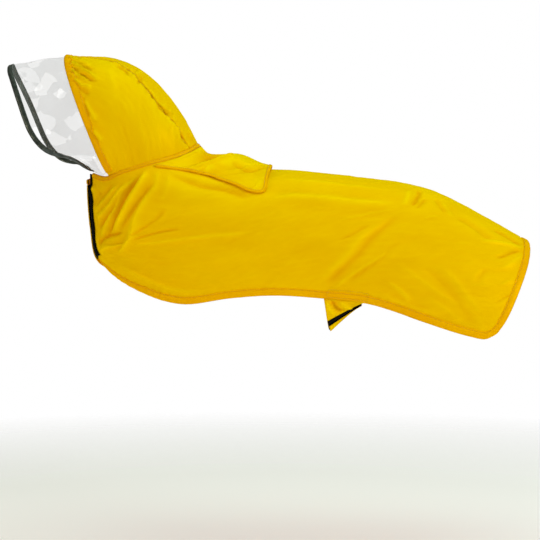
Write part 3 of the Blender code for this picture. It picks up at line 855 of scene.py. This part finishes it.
def clear_sheet(name):
    """Clear soft plastic, with sharp white patches of painted reflection where it is crumpled."""
    nodes = material_nodes(name)
    cloth = nodes.cloth()
    inputs = {"Vector": cloth, "Scale": 0.06, "Detail": 3.0}
    bend = nodes.scaled(nodes.node("TexNoise", inputs, "Color"), 16.0, 16.0, 0.0)
    bent = nodes.node("VectorMath", {0: cloth, 1: bend}, operation="ADD")
    cells = nodes.node("TexVoronoi", {"Vector": bent, "Scale": 0.045}, "Color")
    pick = nodes.node("SeparateColor", {0: cells})
    clumps = nodes.math("MULTIPLY", nodes.noise(cloth, 0.014), 0.9)
    # Painted reflection: white, more see-through patches where the crumpled sheet would catch light
    white = nodes.span(nodes.math("ADD", pick, clumps), 1.24, 1.26)
    soft = nodes.span(nodes.noise(cloth, 0.012), 0.3, 0.7, 0.08, 0.115)
    wrinkles = nodes.noise(cloth, 0.05, 4.0, 0.62, distortion=1.2)
    return nodes.set(
        Base_Color=nodes.mix(white, (0.30, 0.31, 0.33), (1.0, 1.0, 1.0)),
        Roughness=0.2,
        Alpha=nodes.math("SUBTRACT", soft, nodes.math("MULTIPLY", white, 0.075)),
        Normal=nodes.bump(wrinkles, 1.2),
        Specular_IOR_Level=0.8,
    )


# Painted shade in valleys and painted highlight on crests: what they do to the colour, in full at
# this depth or height
VALLEY_PAINTED_SHADE = (0.90, 0.74, 1.0)
CREST_PAINTED_HIGHLIGHT = (1.04, 1.18, 1.0)
FOLD_DEPTH = 2.4
# Each yellow cloth's light and dark patches, its roughness and its crinkles' height
OUTSIDE = ((0.96, 0.55, 0.0), (0.92, 0.51, 0.0), 0.42, 0.7)
# The inside is deeper orange: a painted glow that stands in for light coming through the thin cloth
# into shaded gaps, such as under the flap
INSIDE = ((0.95, 0.40, 0.0), (0.92, 0.36, 0.0), 0.5, 0.6)
TRIM = ((0.96, 0.48, 0.0), (0.93, 0.42, 0.0), 0.4, 0.3)

cloth_outside = yellow_cloth("yellow_cloth_outside", *OUTSIDE)
cloth_inside = yellow_cloth("yellow_cloth_inside", *INSIDE)
trim_cloth = yellow_cloth("yellow_trim_cloth", *TRIM)
yellow_thread = thread("yellow_thread", (0.78, 0.42, 0.0))
black_thread = thread("black_thread", (0.004, 0.004, 0.004))
grey_thread = thread("grey_thread", (0.03, 0.036, 0.035))
strip_material = black_strip("black_hook_and_loop")
tape_material = grey_tape("grey_reflective_tape")
clear_material = clear_sheet("clear_peak_sheet")
CLOTH_SIDES = [cloth_outside, cloth_inside]


# ---------------- body panel

def half_curve(row):
    """Points down the left side of a section, from its top to its low end."""
    crown = np.radians(np.linspace(0, 90, SECTION_POINTS))
    flank = np.radians(np.linspace(0, row.turn, SECTION_POINTS))[1:]
    down = row.drop + (1 - row.drop) * np.sin(flank) / np.sin(flank[-1])
    share = np.concatenate([row.drop * (1 - np.cos(crown)), down])
    tuck = (1 - np.cos(flank)) / (1 - np.cos(flank[-1]))
    turned = row.wide - (row.wide - row.low_y) * tuck
    out = np.concatenate([row.wide * np.sin(crown), turned])
    top = np.array([row.top_x, row.top_z], float)
    fall = np.array([row.low_x, row.low_z], float) - top
    back = np.array([-fall[1], fall[0]]) / np.hypot(*fall)
    bow = row.bow * (1 - (2 * share - 1) ** 4)
    bow += bell(share - DIP_PLACE, (row.dip, DIP_SPREAD))
    flat = top + share[:, None] * fall + bow[:, None] * back
    return np.stack([flat[:, 0], -out, flat[:, 1]], axis=1)


def lapped(points, lap):
    """A left half curve carried on past the centre line by lap, or cut short of it."""
    length = arc_lengths(points)[-1]
    whole = np.concatenate([points, mirrored(points[::-1])[1:]])
    return at_arcs(whole, np.linspace(0, length + lap, len(points)))


def inset_places(length, count):
    """Distances from an edge, with one line just inside it, and closer near the edge."""
    share = np.linspace(0, 1, count - 1)
    share = share + COLUMNS_EASE * (share**3 - share)
    return np.concatenate([[0.0], EDGE_INSET + (length - EDGE_INSET) * share])


def body_curves():
    curves = []
    for row in BODY:
        halves = []
        for lap in (LAP_LEFT, LAP_RIGHT):
            half = lapped(half_curve(row), lap * row.lap)
            length = arc_lengths(half)[-1]
            halves.append(at_arcs(half, length - inset_places(length, BODY_HALF)[::-1]))
        left, right = halves
        curves.append(np.concatenate([left[::-1], mirrored(right)[1:]]))
    return np.array(curves)


CURVES = body_curves()
KNOTS = knots_of(CURVES)
LAP_END = KNOTS[LAST_LAPPED]
MIDDLE = CURVES.shape[1] // 2
SPINE_AT = np.linspace(0, KNOTS[-1], SPINE_SAMPLES)
SPINE_ARCS = arc_lengths(through(KNOTS, CURVES, SPINE_AT)[:, MIDDLE])


def body_curve(t):
    """The body's section at t, from its left edge to its right one."""
    return through(KNOTS, CURVES, np.array([t]))[0]


def body_base():
    """The body panel's outer face with its lap, without creases."""
    dense = through(KNOTS, CURVES, np.linspace(0, KNOTS[-1], BODY_SAMPLES))
    places = np.linspace(0, 1, BODY_ROWS - 2)
    places = places + ROWS_EASE * (places**2 - places)
    columns = []
    for number, to_right in enumerate(arc_lengths(dense[0][::-1])[::-1]):
        column = dense[:, number]
        end = arc_lengths(column)[-1]
        start = RIGHT_CORNER_DROP * (1 - smooth(to_right / STRIP))
        arcs = start + EDGE_INSET + places * (end - start - 2 * EDGE_INSET)
        columns.append(at_arcs(column, np.concatenate([[start], arcs, [end]])))
    grid = np.stack(columns, axis=1)
    spine = arc_lengths(grid[:, MIDDLE]) / SPINE_ARCS[-1] * KNOTS[-1]
    lap = 1 - ramp(spine - LAP_END, *FOOT_RAMP)
    height = blend(LIFTS, smooth(spine / LAP_END))
    lift = 1 - ramp(from_edges(grid)[1], *LIFT_RAMP)
    return raised(grid, lift * (height * lap)[:, None])


def body_relief(grid):
    """Heights of the body panel's folds, ripples and hem puckers."""
    where = cloth_coordinates(grid)
    across, along = where[:, :, 0], where[:, :, 1]
    height = fold_heights(where, BODY_CREASES, 61, BODY_RIPPLES)
    to_left, to_right = from_edges(grid)
    behind = ramp(grid[:, :, 0], *BEHIND_RAMP)
    at_closure = 1 - ramp(np.minimum(to_left, to_right), *EDGE_RAMP)
    height *= 1 - at_closure * (1 - behind)
    chest = 1 + bell(grid[:, :, 0] - CHEST_X, CHEST_BELL)
    for distance, station, row in (
        (to_left, along, LEFT_HEM_PUCKERS),
        (to_right, along, RIGHT_HEM_PUCKERS),
        (along[-1] - along, across, TAIL_PUCKERS),
    ):
        height -= bell(distance - HEM - 0.5, HEM_GROOVE) * behind
        height += chest * behind * pucker_heights(row, station, distance, HEM)
    return height + pucker_heights(NECK_PUCKERS, across, along, NECK_TAPE)


def body_point(t, arc):
    """A point of the body's outer face. arc runs round from the back's centre line."""
    curve = body_curve(t)
    return at_arcs(curve, np.array([arc_lengths(curve)[MIDDLE] + arc]))[0]


def body_spot(t, arc):
    """A point of the body's outer face, with its normal."""
    across = body_point(t, arc + 3) - body_point(t, arc - 3)
    back = body_point(t + 2, arc) - body_point(max(t - 2, 0), arc)
    return body_point(t, arc), unit(np.cross(back, across))


body_smooth = body_base()
body_full = raised(body_smooth, body_relief(body_smooth))
body_surface = Surface(body_full)
body_cloth = shell("body_cloth", body_full[1:-1, 1:-1], CLOTH, CLOTH_SIDES)
foot_row = int(np.argmin(np.abs(body_full[:60, 0, 2] - BODY[LAST_LAPPED].low_z)))

hem_path = round_edge(body_full[foot_row:])
hem_band = band("hem_band", hem_path, body_surface, HEM, 0.9, trim_cloth, 0.45, 21, (6, 15))
closure_band = band(
    "closure_edge_fold", body_full[4 : foot_row + 1, -1], body_surface, 5.0, 0.5, cloth_outside,
    0.3, 23, (8, 16), profile=FLAT,
)
neck_start = int(np.argmax(arc_lengths(body_full[0]) > STRIP))
neck_path = body_full[0, neck_start:]
neck_band = band(
    "neck_band", neck_path, body_surface, NECK_TAPE, 0.8, trim_cloth, 0.35, 22, (6, 12)
)


# The loops are on the left end's outer face, and the hooks on the right end's inner face.
from_left, from_right = from_edges(body_smooth[:1])
last = int(np.argmax(from_left[0] > STRIP))
loop_grid = raised(body_full, SEAM_GAP + 0.9)[1 : foot_row + 3, 1:last]
first = int(np.argmin(from_right[0] > STRIP))
hook_grid = raised(body_full, -CLOTH - SEAM_GAP)[4:foot_row, first:-1]
chest_loops = shell("chest_loop_strip_pile", loop_grid, PILE_THICK, [strip_material], outwards=True)
chest_hooks = shell("chest_hook_strip_pile", hook_grid, PILE_THICK, [strip_material])


# ---------------- hood

def hood_half(row):
    """The left half of a hood section, which ends on the neck seam."""
    seam = half_curve(BODY[0])
    spot = np.argmax(seam[:, 0] <= row.low_x)
    share = (row.low_x - seam[spot - 1, 0]) / (seam[spot, 0] - seam[spot - 1, 0])
    low = mirrored(seam[spot - 1] + share * (seam[spot] - seam[spot - 1]))
    return half_curve(Section(*row[:3], *low, *row[4:8], dip=0, lap=0))


def hood_curves():
    """The hood's sections, each from its left low end to its right one."""
    seam = half_curve(BODY[0])
    halves = [hood_half(row) for row in HOOD] + [seam[seam[:, 0] >= NECK_LOW_X]]
    seams = [row.seam for row in HOOD] + [NECK_SEAM_HALF]
    curves = []
    for half, seam_half in zip(halves, seams):
        length = arc_lengths(half)[-1]
        top = np.linspace(0, seam_half, GUSSET_COLUMNS)
        side = np.linspace(seam_half, length, SIDE_COLUMNS + 1)[1:]
        left = at_arcs(half, np.concatenate([top, side]))[::-1]
        curves.append(np.concatenate([left, mirrored(left[:-1])[::-1]]))
    return np.array(curves)


def hood_base():
    """The hood's outer face, without creases."""
    curves = hood_curves()
    knots = knots_of(curves)
    dense = through(knots, curves, np.linspace(0, knots[-1], HOOD_SAMPLES))
    columns = []
    for column in dense.swapaxes(0, 1):
        length = arc_lengths(column)[-1]
        inset = min(EDGE_INSET, 0.02 * length)
        arcs = np.concatenate([[0.0], np.linspace(inset, length, HOOD_ROWS)])
        columns.append(at_arcs(column, arcs))
    return np.stack(columns, axis=1)


def hood_relief(grid):
    """Heights of the hood's folds, seams and gathered front."""
    where = cloth_coordinates(grid)
    across, along = where[:, :, 0], where[:, :, 1]
    height = fold_heights(where, HOOD_CREASES, 62, HOOD_RIPPLES)
    for seam, row in ((LEFT_SEAM, LEFT_SEAM_PUCKERS), (RIGHT_SEAM, RIGHT_SEAM_PUCKERS)):
        off = np.abs(across - across[:, [seam]])
        height += pucker_heights(row, along, off) - bell(off, SEAM_GROOVE)
    fullness = blend(GATHERS, ramp(grid[:, :, 2], *GATHERS_RAMP))
    return height + fullness * pucker_heights(CASING_GATHERS, across, along)


hood_smooth = hood_base()
LEFT_SEAM = SIDE_COLUMNS
RIGHT_SEAM = hood_smooth.shape[1] - 1 - SIDE_COLUMNS
hood_full = raised(hood_smooth, hood_relief(hood_smooth))
hood_surface = Surface(hood_full)
hood_left = shell("hood_side_left_cloth", hood_full[1:, : LEFT_SEAM + 1], CLOTH, CLOTH_SIDES)
hood_right = shell("hood_side_right_cloth", hood_full[1:, RIGHT_SEAM:], CLOTH, CLOTH_SIDES)
hood_middle = shell(
    "hood_gusset_cloth", hood_full[1:, LEFT_SEAM : RIGHT_SEAM + 1], CLOTH, CLOTH_SIDES
)
casing_path = hood_full[0, 2:-2]
casing_heights = evened(casing_path, BAND_STEP)[:, 2]
casing_ripple = blend(CASING_RIPPLES, ramp(casing_heights, *CASING_RAMP))
casing = band(
    "hood_casing_band", casing_path, hood_surface, CASING, 1.0, trim_cloth, casing_ripple, 36,
    (5, 10), 0.3, FLAT,
)


# ---------------- clear peak

def peak_base():
    """The clear peak's outer face, from its own front edge to the hood's front edge."""
    rear = hood_half(HOOD[0])
    rear = rear[: np.argmax(rear[:, 2] <= PEAK_LOW_Z)]
    outline = np.array(PEAK, float)
    knots = arc_lengths(outline)
    front = through(knots, outline, np.linspace(0, knots[-1], OUTLINE_SAMPLES))
    shares = np.linspace(0, 1, PEAK_HALF)
    rear = at_arcs(rear, shares * arc_lengths(rear)[-1])
    front = at_arcs(front, shares * arc_lengths(front)[-1])
    at = np.linspace(1, 0, PEAK_ROWS)[:, None] * np.ones(PEAK_HALF)
    half = rear + at[:, :, None] * (front - rear)
    low = ramp(shares, *PEAK_SAG_RAMP)
    hang = np.sin(np.pi * np.clip(at / PEAK_SAG_END, 0, 1))
    half[:, :, 1] += PEAK_TUCK * low * hang
    half[:, :, 2] -= PEAK_SAG * low * hang**2
    whole = np.concatenate([half[:, ::-1], mirrored(half[:, 1:])], axis=1)
    crown = PEAK_CROWN * np.sin(np.pi * at) * smooth((1 - shares) * 4)
    crown = np.concatenate([crown[:, ::-1], crown[:, 1:]], axis=1)
    return raised(whole, crown)


peak_smooth = peak_base()
peak_full = raised(peak_smooth, ripple_heights(cloth_coordinates(peak_smooth), PEAK_RIPPLES))
peak_surface = Surface(peak_full)
peak_cloth = shell("peak_clear_sheet", peak_full[1:], CLEAR_SHEET, [clear_material])
peak_band = band(
    "peak_binding", peak_full[0], peak_surface, PEAK_TAPE, 0.6, tape_material, 0.15, 43,
    (14, 30), 0.4, FLAT,
)


# ---------------- neck flap

def flap_base():
    """The flap's outer face without creases, and how far it is off the body there."""
    rows = np.array(FLAP, float)
    start, end = rows[0, 0], rows[-1, 0]
    shares = np.linspace(0, 1, FLAP_HALF)
    grid, room = [], []
    for reach in np.linspace(start, end, FLAP_ROWS):
        half, _, edge = through(rows[:, 0], rows[:, 1:], np.array([reach]))[0]
        past = max(FLAP_CORNER - (end - reach), 0)
        side = half - FLAP_CORNER + math.sqrt(max(FLAP_CORNER**2 - past**2, 0))
        row = []
        for place in np.concatenate([-shares[::-1], shares[1:]]) * side:
            share = abs(place) / half
            rake = FLAP_RAKE * (math.hypot(share, CREST_EASE) - CREST_EASE)
            raked = np.clip(reach + rake, start, end)
            fold = through(rows[:, 0], rows[:, 2:3], np.array([raked]))[0, 0]
            rise = ramp(reach, start, FLAP_RISE)
            edge_lift = FLAP_CLOSE * edge
            lift = max(blend((edge_lift, fold * rise), 1 - smooth(share)), FLAP_LEAST)
            skewed = reach + FLAP_SKEW * share**2 * (reach - start) / (end - start)
            here, normal = body_spot(np.interp(skewed, SPINE_ARCS, SPINE_AT), place)
            row.append(here + normal * (lift + CLOTH))
            room.append(lift)
        grid.append(row)
    return np.array(grid), np.reshape(room, (len(grid), -1))


def flap_relief(grid, room):
    """Heights of the flap's folds, which fade at the centre line and stay off the body."""
    where = cloth_coordinates(grid)
    height = fold_heights(where, FLAP_CREASES, 63, FLAP_RIPPLES)
    height *= ramp(np.abs(where[:, :, 0]), *FLAP_FOLD_RAMP)
    return np.maximum(height, FLAP_NEAREST - room)


flap_smooth, flap_room = flap_base()
flap_full = raised(flap_smooth, flap_relief(flap_smooth, flap_room))
flap_surface = Surface(flap_full)
flap_cloth = shell("back_flap_cloth", flap_full[:-1, 1:-1], CLOTH, CLOTH_SIDES, reach=FLAP_EVENED)
flap_path = round_edge(flap_full[1:])
flap_band = band(
    "flap_edge_band", flap_path, flap_surface, FLAP_TAPE, 0.6, trim_cloth, 0.25, 53, (7, 14),
    profile=FLAT,
)


# ---------------- belly strap

def hem_station(x):
    """The place along the body whose left low edge is at x, and the section there."""
    t = np.interp(x, through(KNOTS, CURVES, SPINE_AT)[:, 0, 0], SPINE_AT)
    return t, body_curve(t)


def strap_root(hem_x):
    """The left hem's point at hem_x on the inside, after two points further up the cloth."""
    t, curve = hem_station(hem_x)
    to_edge = arc_lengths(curve)[MIDDLE]
    inside = CLOTH + 2 * SEAM_GAP + 1.0
    sewn = []
    for arc in (STRAP_SEWN, 0.5 * STRAP_SEWN, 0.0):
        here, normal = body_spot(t, arc - to_edge)
        sewn.append(here - normal * inside)
    return np.array(sewn)


def strap_edge(share, span):
    """The strap's path at a share of its width, over a span of places."""
    front, back = np.array(STRAP, float)
    left_x, right_x, dip, shift = front + share * (back - front)
    left = strap_root(left_x)
    right = mirrored(strap_root(right_x))[::-1]
    turn = np.pi * np.linspace(*span, int(STRAP_SAMPLES * (span[1] - span[0])))[:, None]
    path = 0.5 * ((1 + np.cos(turn)) * left[-1] + (1 - np.cos(turn)) * right[0])
    path += np.sin(turn) * np.array([shift, 0.0, -dip])
    if span[0] == 0:
        path = np.concatenate([left[:-1], path])
    if span[1] == 1:
        path = np.concatenate([path, right[1:]])
    return path


def strap_base(span):
    shares = np.linspace(0, 1, STRAP_COLUMNS)
    return np.stack([strap_edge(share, span) for share in shares], axis=1)


# The layers lie on each other outwards: the left half, its loops, the hooks, the right half.
left_grid = strap_base(STRAP_LEFT_SPAN)
left_grid = raised(left_grid, crease_heights(cloth_coordinates(left_grid), STRAP_CREASES))
strap_left = shell("strap_left_cloth", left_grid, CLOTH, CLOTH_SIDES)
layer = LAYER_GAP
strips = []
for name, span in (
    ("strap_loop_strip_pile", STRAP_LOOP_SPAN),
    ("strap_hook_strip_pile", STRAP_HOOK_SPAN),
):
    grid = raised(strap_base(span), layer)
    strips.append(shell(name, grid, STRIP_THICK, [strip_material], outwards=True))
    layer += LAYER_GAP + STRIP_THICK
strap_loops, strap_hooks = strips
right_grid = strap_base(STRAP_RIGHT_SPAN)
places = np.append(np.linspace(*STRAP_RIGHT_SPAN, len(right_grid) - 2), [1.0, 1.0])
tuck = ramp(places, *STRAP_TUCK_RAMP)
right_grid = raised(right_grid, (layer - tuck * (layer + CLOTH))[:, None])
strap_right = shell("strap_right_cloth", right_grid, CLOTH, CLOTH_SIDES, outwards=True)


# ---------------- sewing

def box_path(front, back):
    """The outline that is sewn through the left hem over an end of the strap."""
    rows = []
    for x in np.linspace(front, back, 20):
        rows.append(at_arcs(hem_station(x)[1], np.array(BOX_HEIGHTS)))
    low, high = np.array(rows).swapaxes(0, 1)
    return np.concatenate([low, high[::-1], low[:1]])


def sewn_edge(name, path, surface, reaches, thread, lift, size=LONG):
    """Rows of stitches along an edge, at some distances in from it."""
    rows = [beside(path, surface, reach) for reach in reaches]
    return stitches(name, rows, surface, thread, lift, size)


hem_stitches = sewn_edge("hem_stitches", hem_path, body_surface, [SEWN * HEM], yellow_thread, 0.7)
box_stitches = stitches(
    "strap_box_stitches",
    [box_path(STRAP[0].left_x + 3, STRAP[1].left_x + 2),
     mirrored(box_path(STRAP[0].right_x + 3, STRAP[1].right_x + 2))],
    body_surface, yellow_thread, 1.35,
)
neck_stitches = sewn_edge(
    "neck_stitches", neck_path, body_surface, [1.6, SEWN * NECK_TAPE], yellow_thread, 1.0, MEDIUM
)
strip_rows = body_full[3 : foot_row + 2]
strip_stitches = stitches(
    "chest_strip_stitches", [strip_rows[:, 2], strip_rows[:, 10]], body_surface, black_thread, 2.3
)
casing_stitches = sewn_edge(
    "hood_casing_stitches", hood_full[0, 4:-4], hood_surface, [SEWN_DEEP * CASING],
    yellow_thread, 1.2,
)
seam_stitches = [
    stitches(name, [hood_full[6:-3, column]], hood_surface, yellow_thread, 0.3, SHORT)
    for name, column in (
        ("hood_seam_stitches_left", LEFT_SEAM - 1), ("hood_seam_stitches_right", RIGHT_SEAM + 1)
    )
]
flap_stitches = sewn_edge(
    "flap_stitches", flap_path, flap_surface, [SEWN * FLAP_TAPE], yellow_thread, 0.85, SHORT
)
peak_stitches = sewn_edge(
    "peak_stitches", peak_full[0, 3:-3], peak_surface, [SEWN_DEEP * PEAK_TAPE],
    grey_thread, 0.85, SHORT,
)


# ---------------- the CAD parts that the pieces take the place of, hidden

PIECES = {
    ("body_panel", "yellow_cloth"): (body_cloth, closure_band),
    ("hem_tape", "yellow_trim"): (hem_band, hem_stitches, box_stitches),
    ("neck_tape", "yellow_trim"): (neck_band, neck_stitches),
    ("hood_side_left", "yellow_cloth"): (hood_left,),
    ("hood_side_left", "yellow_trim"): (seam_stitches[0],),
    ("hood_side_right", "yellow_cloth"): (hood_right,),
    ("hood_side_right", "yellow_trim"): (seam_stitches[1],),
    ("hood_gusset", "yellow_cloth"): (hood_middle,),
    ("hood_casing", "yellow_trim"): (casing, casing_stitches),
    ("peak", "clear_sheet"): (peak_cloth,),
    ("peak_tape", "grey_tape"): (peak_band, peak_stitches),
    ("back_flap", "yellow_cloth"): (flap_cloth,),
    ("flap_tape", "yellow_trim"): (flap_band, flap_stitches),
    ("chest_loop_strip", "black_strip"): (chest_loops, strip_stitches),
    ("chest_hook_strip", "black_strip"): (chest_hooks,),
    ("strap_left", "yellow_cloth"): (strap_left,),
    ("strap_right", "yellow_cloth"): (strap_right,),
    ("strap_loop_strip", "black_strip"): (strap_loops,),
    ("strap_hook_strip", "black_strip"): (strap_hooks,),
}
for (node, slot), pieces in PIECES.items():
    for piece in pieces:
        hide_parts(node)


# ---------------- camera, light and floor

# The studio's walls glow from dim to bright, brightest above and behind the tail.
BRIGHT_SIDE = (0.50, -0.25, 0.83)
DIM = (0.17, 0.14, 0.11)
BRIGHT = (0.33, 0.38, 0.30)
# Each softbox: where it stands, what it points at, its size in metres, its power and colour
Softbox = namedtuple("Softbox", "place target size power colour")
SOFTBOXES = {
    "top": Softbox((0.35, -0.25, 1.7), (0.05, 0.0, -0.1), (2.0, 1.6), 17.5, (0.74, 1.0, 0.8)),
    "front": Softbox((2.2, -1.7, 0.5), (0.0, 0.0, -0.1), (0.6, 0.6), 28, (1.0, 1.0, 1.0)),
    "side": Softbox((-2.0, -1.4, 0.2), (-0.1, 0.0, -0.1), (0.5, 0.5), 15, (1.0, 0.88, 0.6)),
    "back": Softbox((0.3, 2.4, 0.9), (0.0, 0.0, 0.0), (1.6, 1.6), 3, (1.0, 1.0, 1.0)),
}
CAMERA_AWAY = 2.0
CAMERA_HEIGHT = -0.15
VIEW_WIDTH = 0.81
SENSOR = 36.0
FLOOR_HEIGHT = -0.56
FLOOR_RADIUS = 1.9
DOME_RADIUS = 9.0


def area_light(name, box):
    data = bpy.data.lights.new(name, "AREA")
    data.shape = "RECTANGLE"
    data.size, data.size_y = box.size
    data.energy = box.power
    data.color = box.colour
    beam = Vector(box.target) - Vector(box.place)
    add_object(name, data, box.place, beam.to_track_quat("-Z", "Y").to_euler())


def add_camera():
    """A camera level with the middle of the picture, which sees the view's width at the coat."""
    data = bpy.data.cameras.new("camera")
    data.sensor_width = SENSOR
    data.lens = SENSOR * CAMERA_AWAY / VIEW_WIDTH
    place = (0.0, -CAMERA_AWAY, CAMERA_HEIGHT)
    bpy.context.scene.camera = add_object("camera", data, place, (math.pi / 2, 0.0, 0.0))


def add_walls():
    """The walls' glow on the coat, and a white backdrop that only the camera sees."""
    world = bpy.data.worlds.new("studio")
    bpy.context.scene.world = world
    nodes = Nodes(world, "Background")
    facing = nodes.node(
        "VectorMath", {0: nodes.place("Generated"), 1: BRIGHT_SIDE}, "Value",
        operation="DOT_PRODUCT",
    )
    nodes.set(Color=nodes.mix(nodes.span(facing, -1.0, 1.0), DIM, BRIGHT))
    bpy.ops.mesh.primitive_uv_sphere_add(segments=48, ring_count=24, radius=DOME_RADIUS)
    dome = bpy.context.object
    dome.name = "backdrop"
    nodes = material_nodes("backdrop")
    nodes.set(Base_Color=(0.0, 0.0, 0.0), Specular_IOR_Level=0.0)
    white = nodes.set(Emission_Color=(1.0, 1.0, 1.0), Emission_Strength=1.0)
    dome.data.materials.append(white)
    dome.visible_diffuse = False
    dome.visible_glossy = False
    dome.visible_shadow = False
    dome.visible_transmission = False


def add_floor():
    """A pale floor that fades into the backdrop."""
    bpy.ops.mesh.primitive_circle_add(
        vertices=96, radius=FLOOR_RADIUS, fill_type="NGON", location=(0, 0, FLOOR_HEIGHT)
    )
    floor = bpy.context.object
    floor.name = "floor"
    nodes = material_nodes("pale_floor")
    off = nodes.node("VectorMath", {0: nodes.place()}, "Value", operation="LENGTH")
    nodes.set(Alpha=nodes.span(off, 0.7, 1.85, 1.0, 0.0), Specular_IOR_Level=0.1)
    nodes.set(Base_Color=(0.9, 0.84, 0.89), Roughness=0.9)
    pale = nodes.set(Emission_Color=(1.0, 0.97, 1.0), Emission_Strength=0.25)
    floor.data.materials.append(pale)


bpy.context.scene.view_settings.view_transform = "Standard"
add_camera()
add_walls()
add_floor()
for name, box in SOFTBOXES.items():
    area_light(name + "_softbox", box)
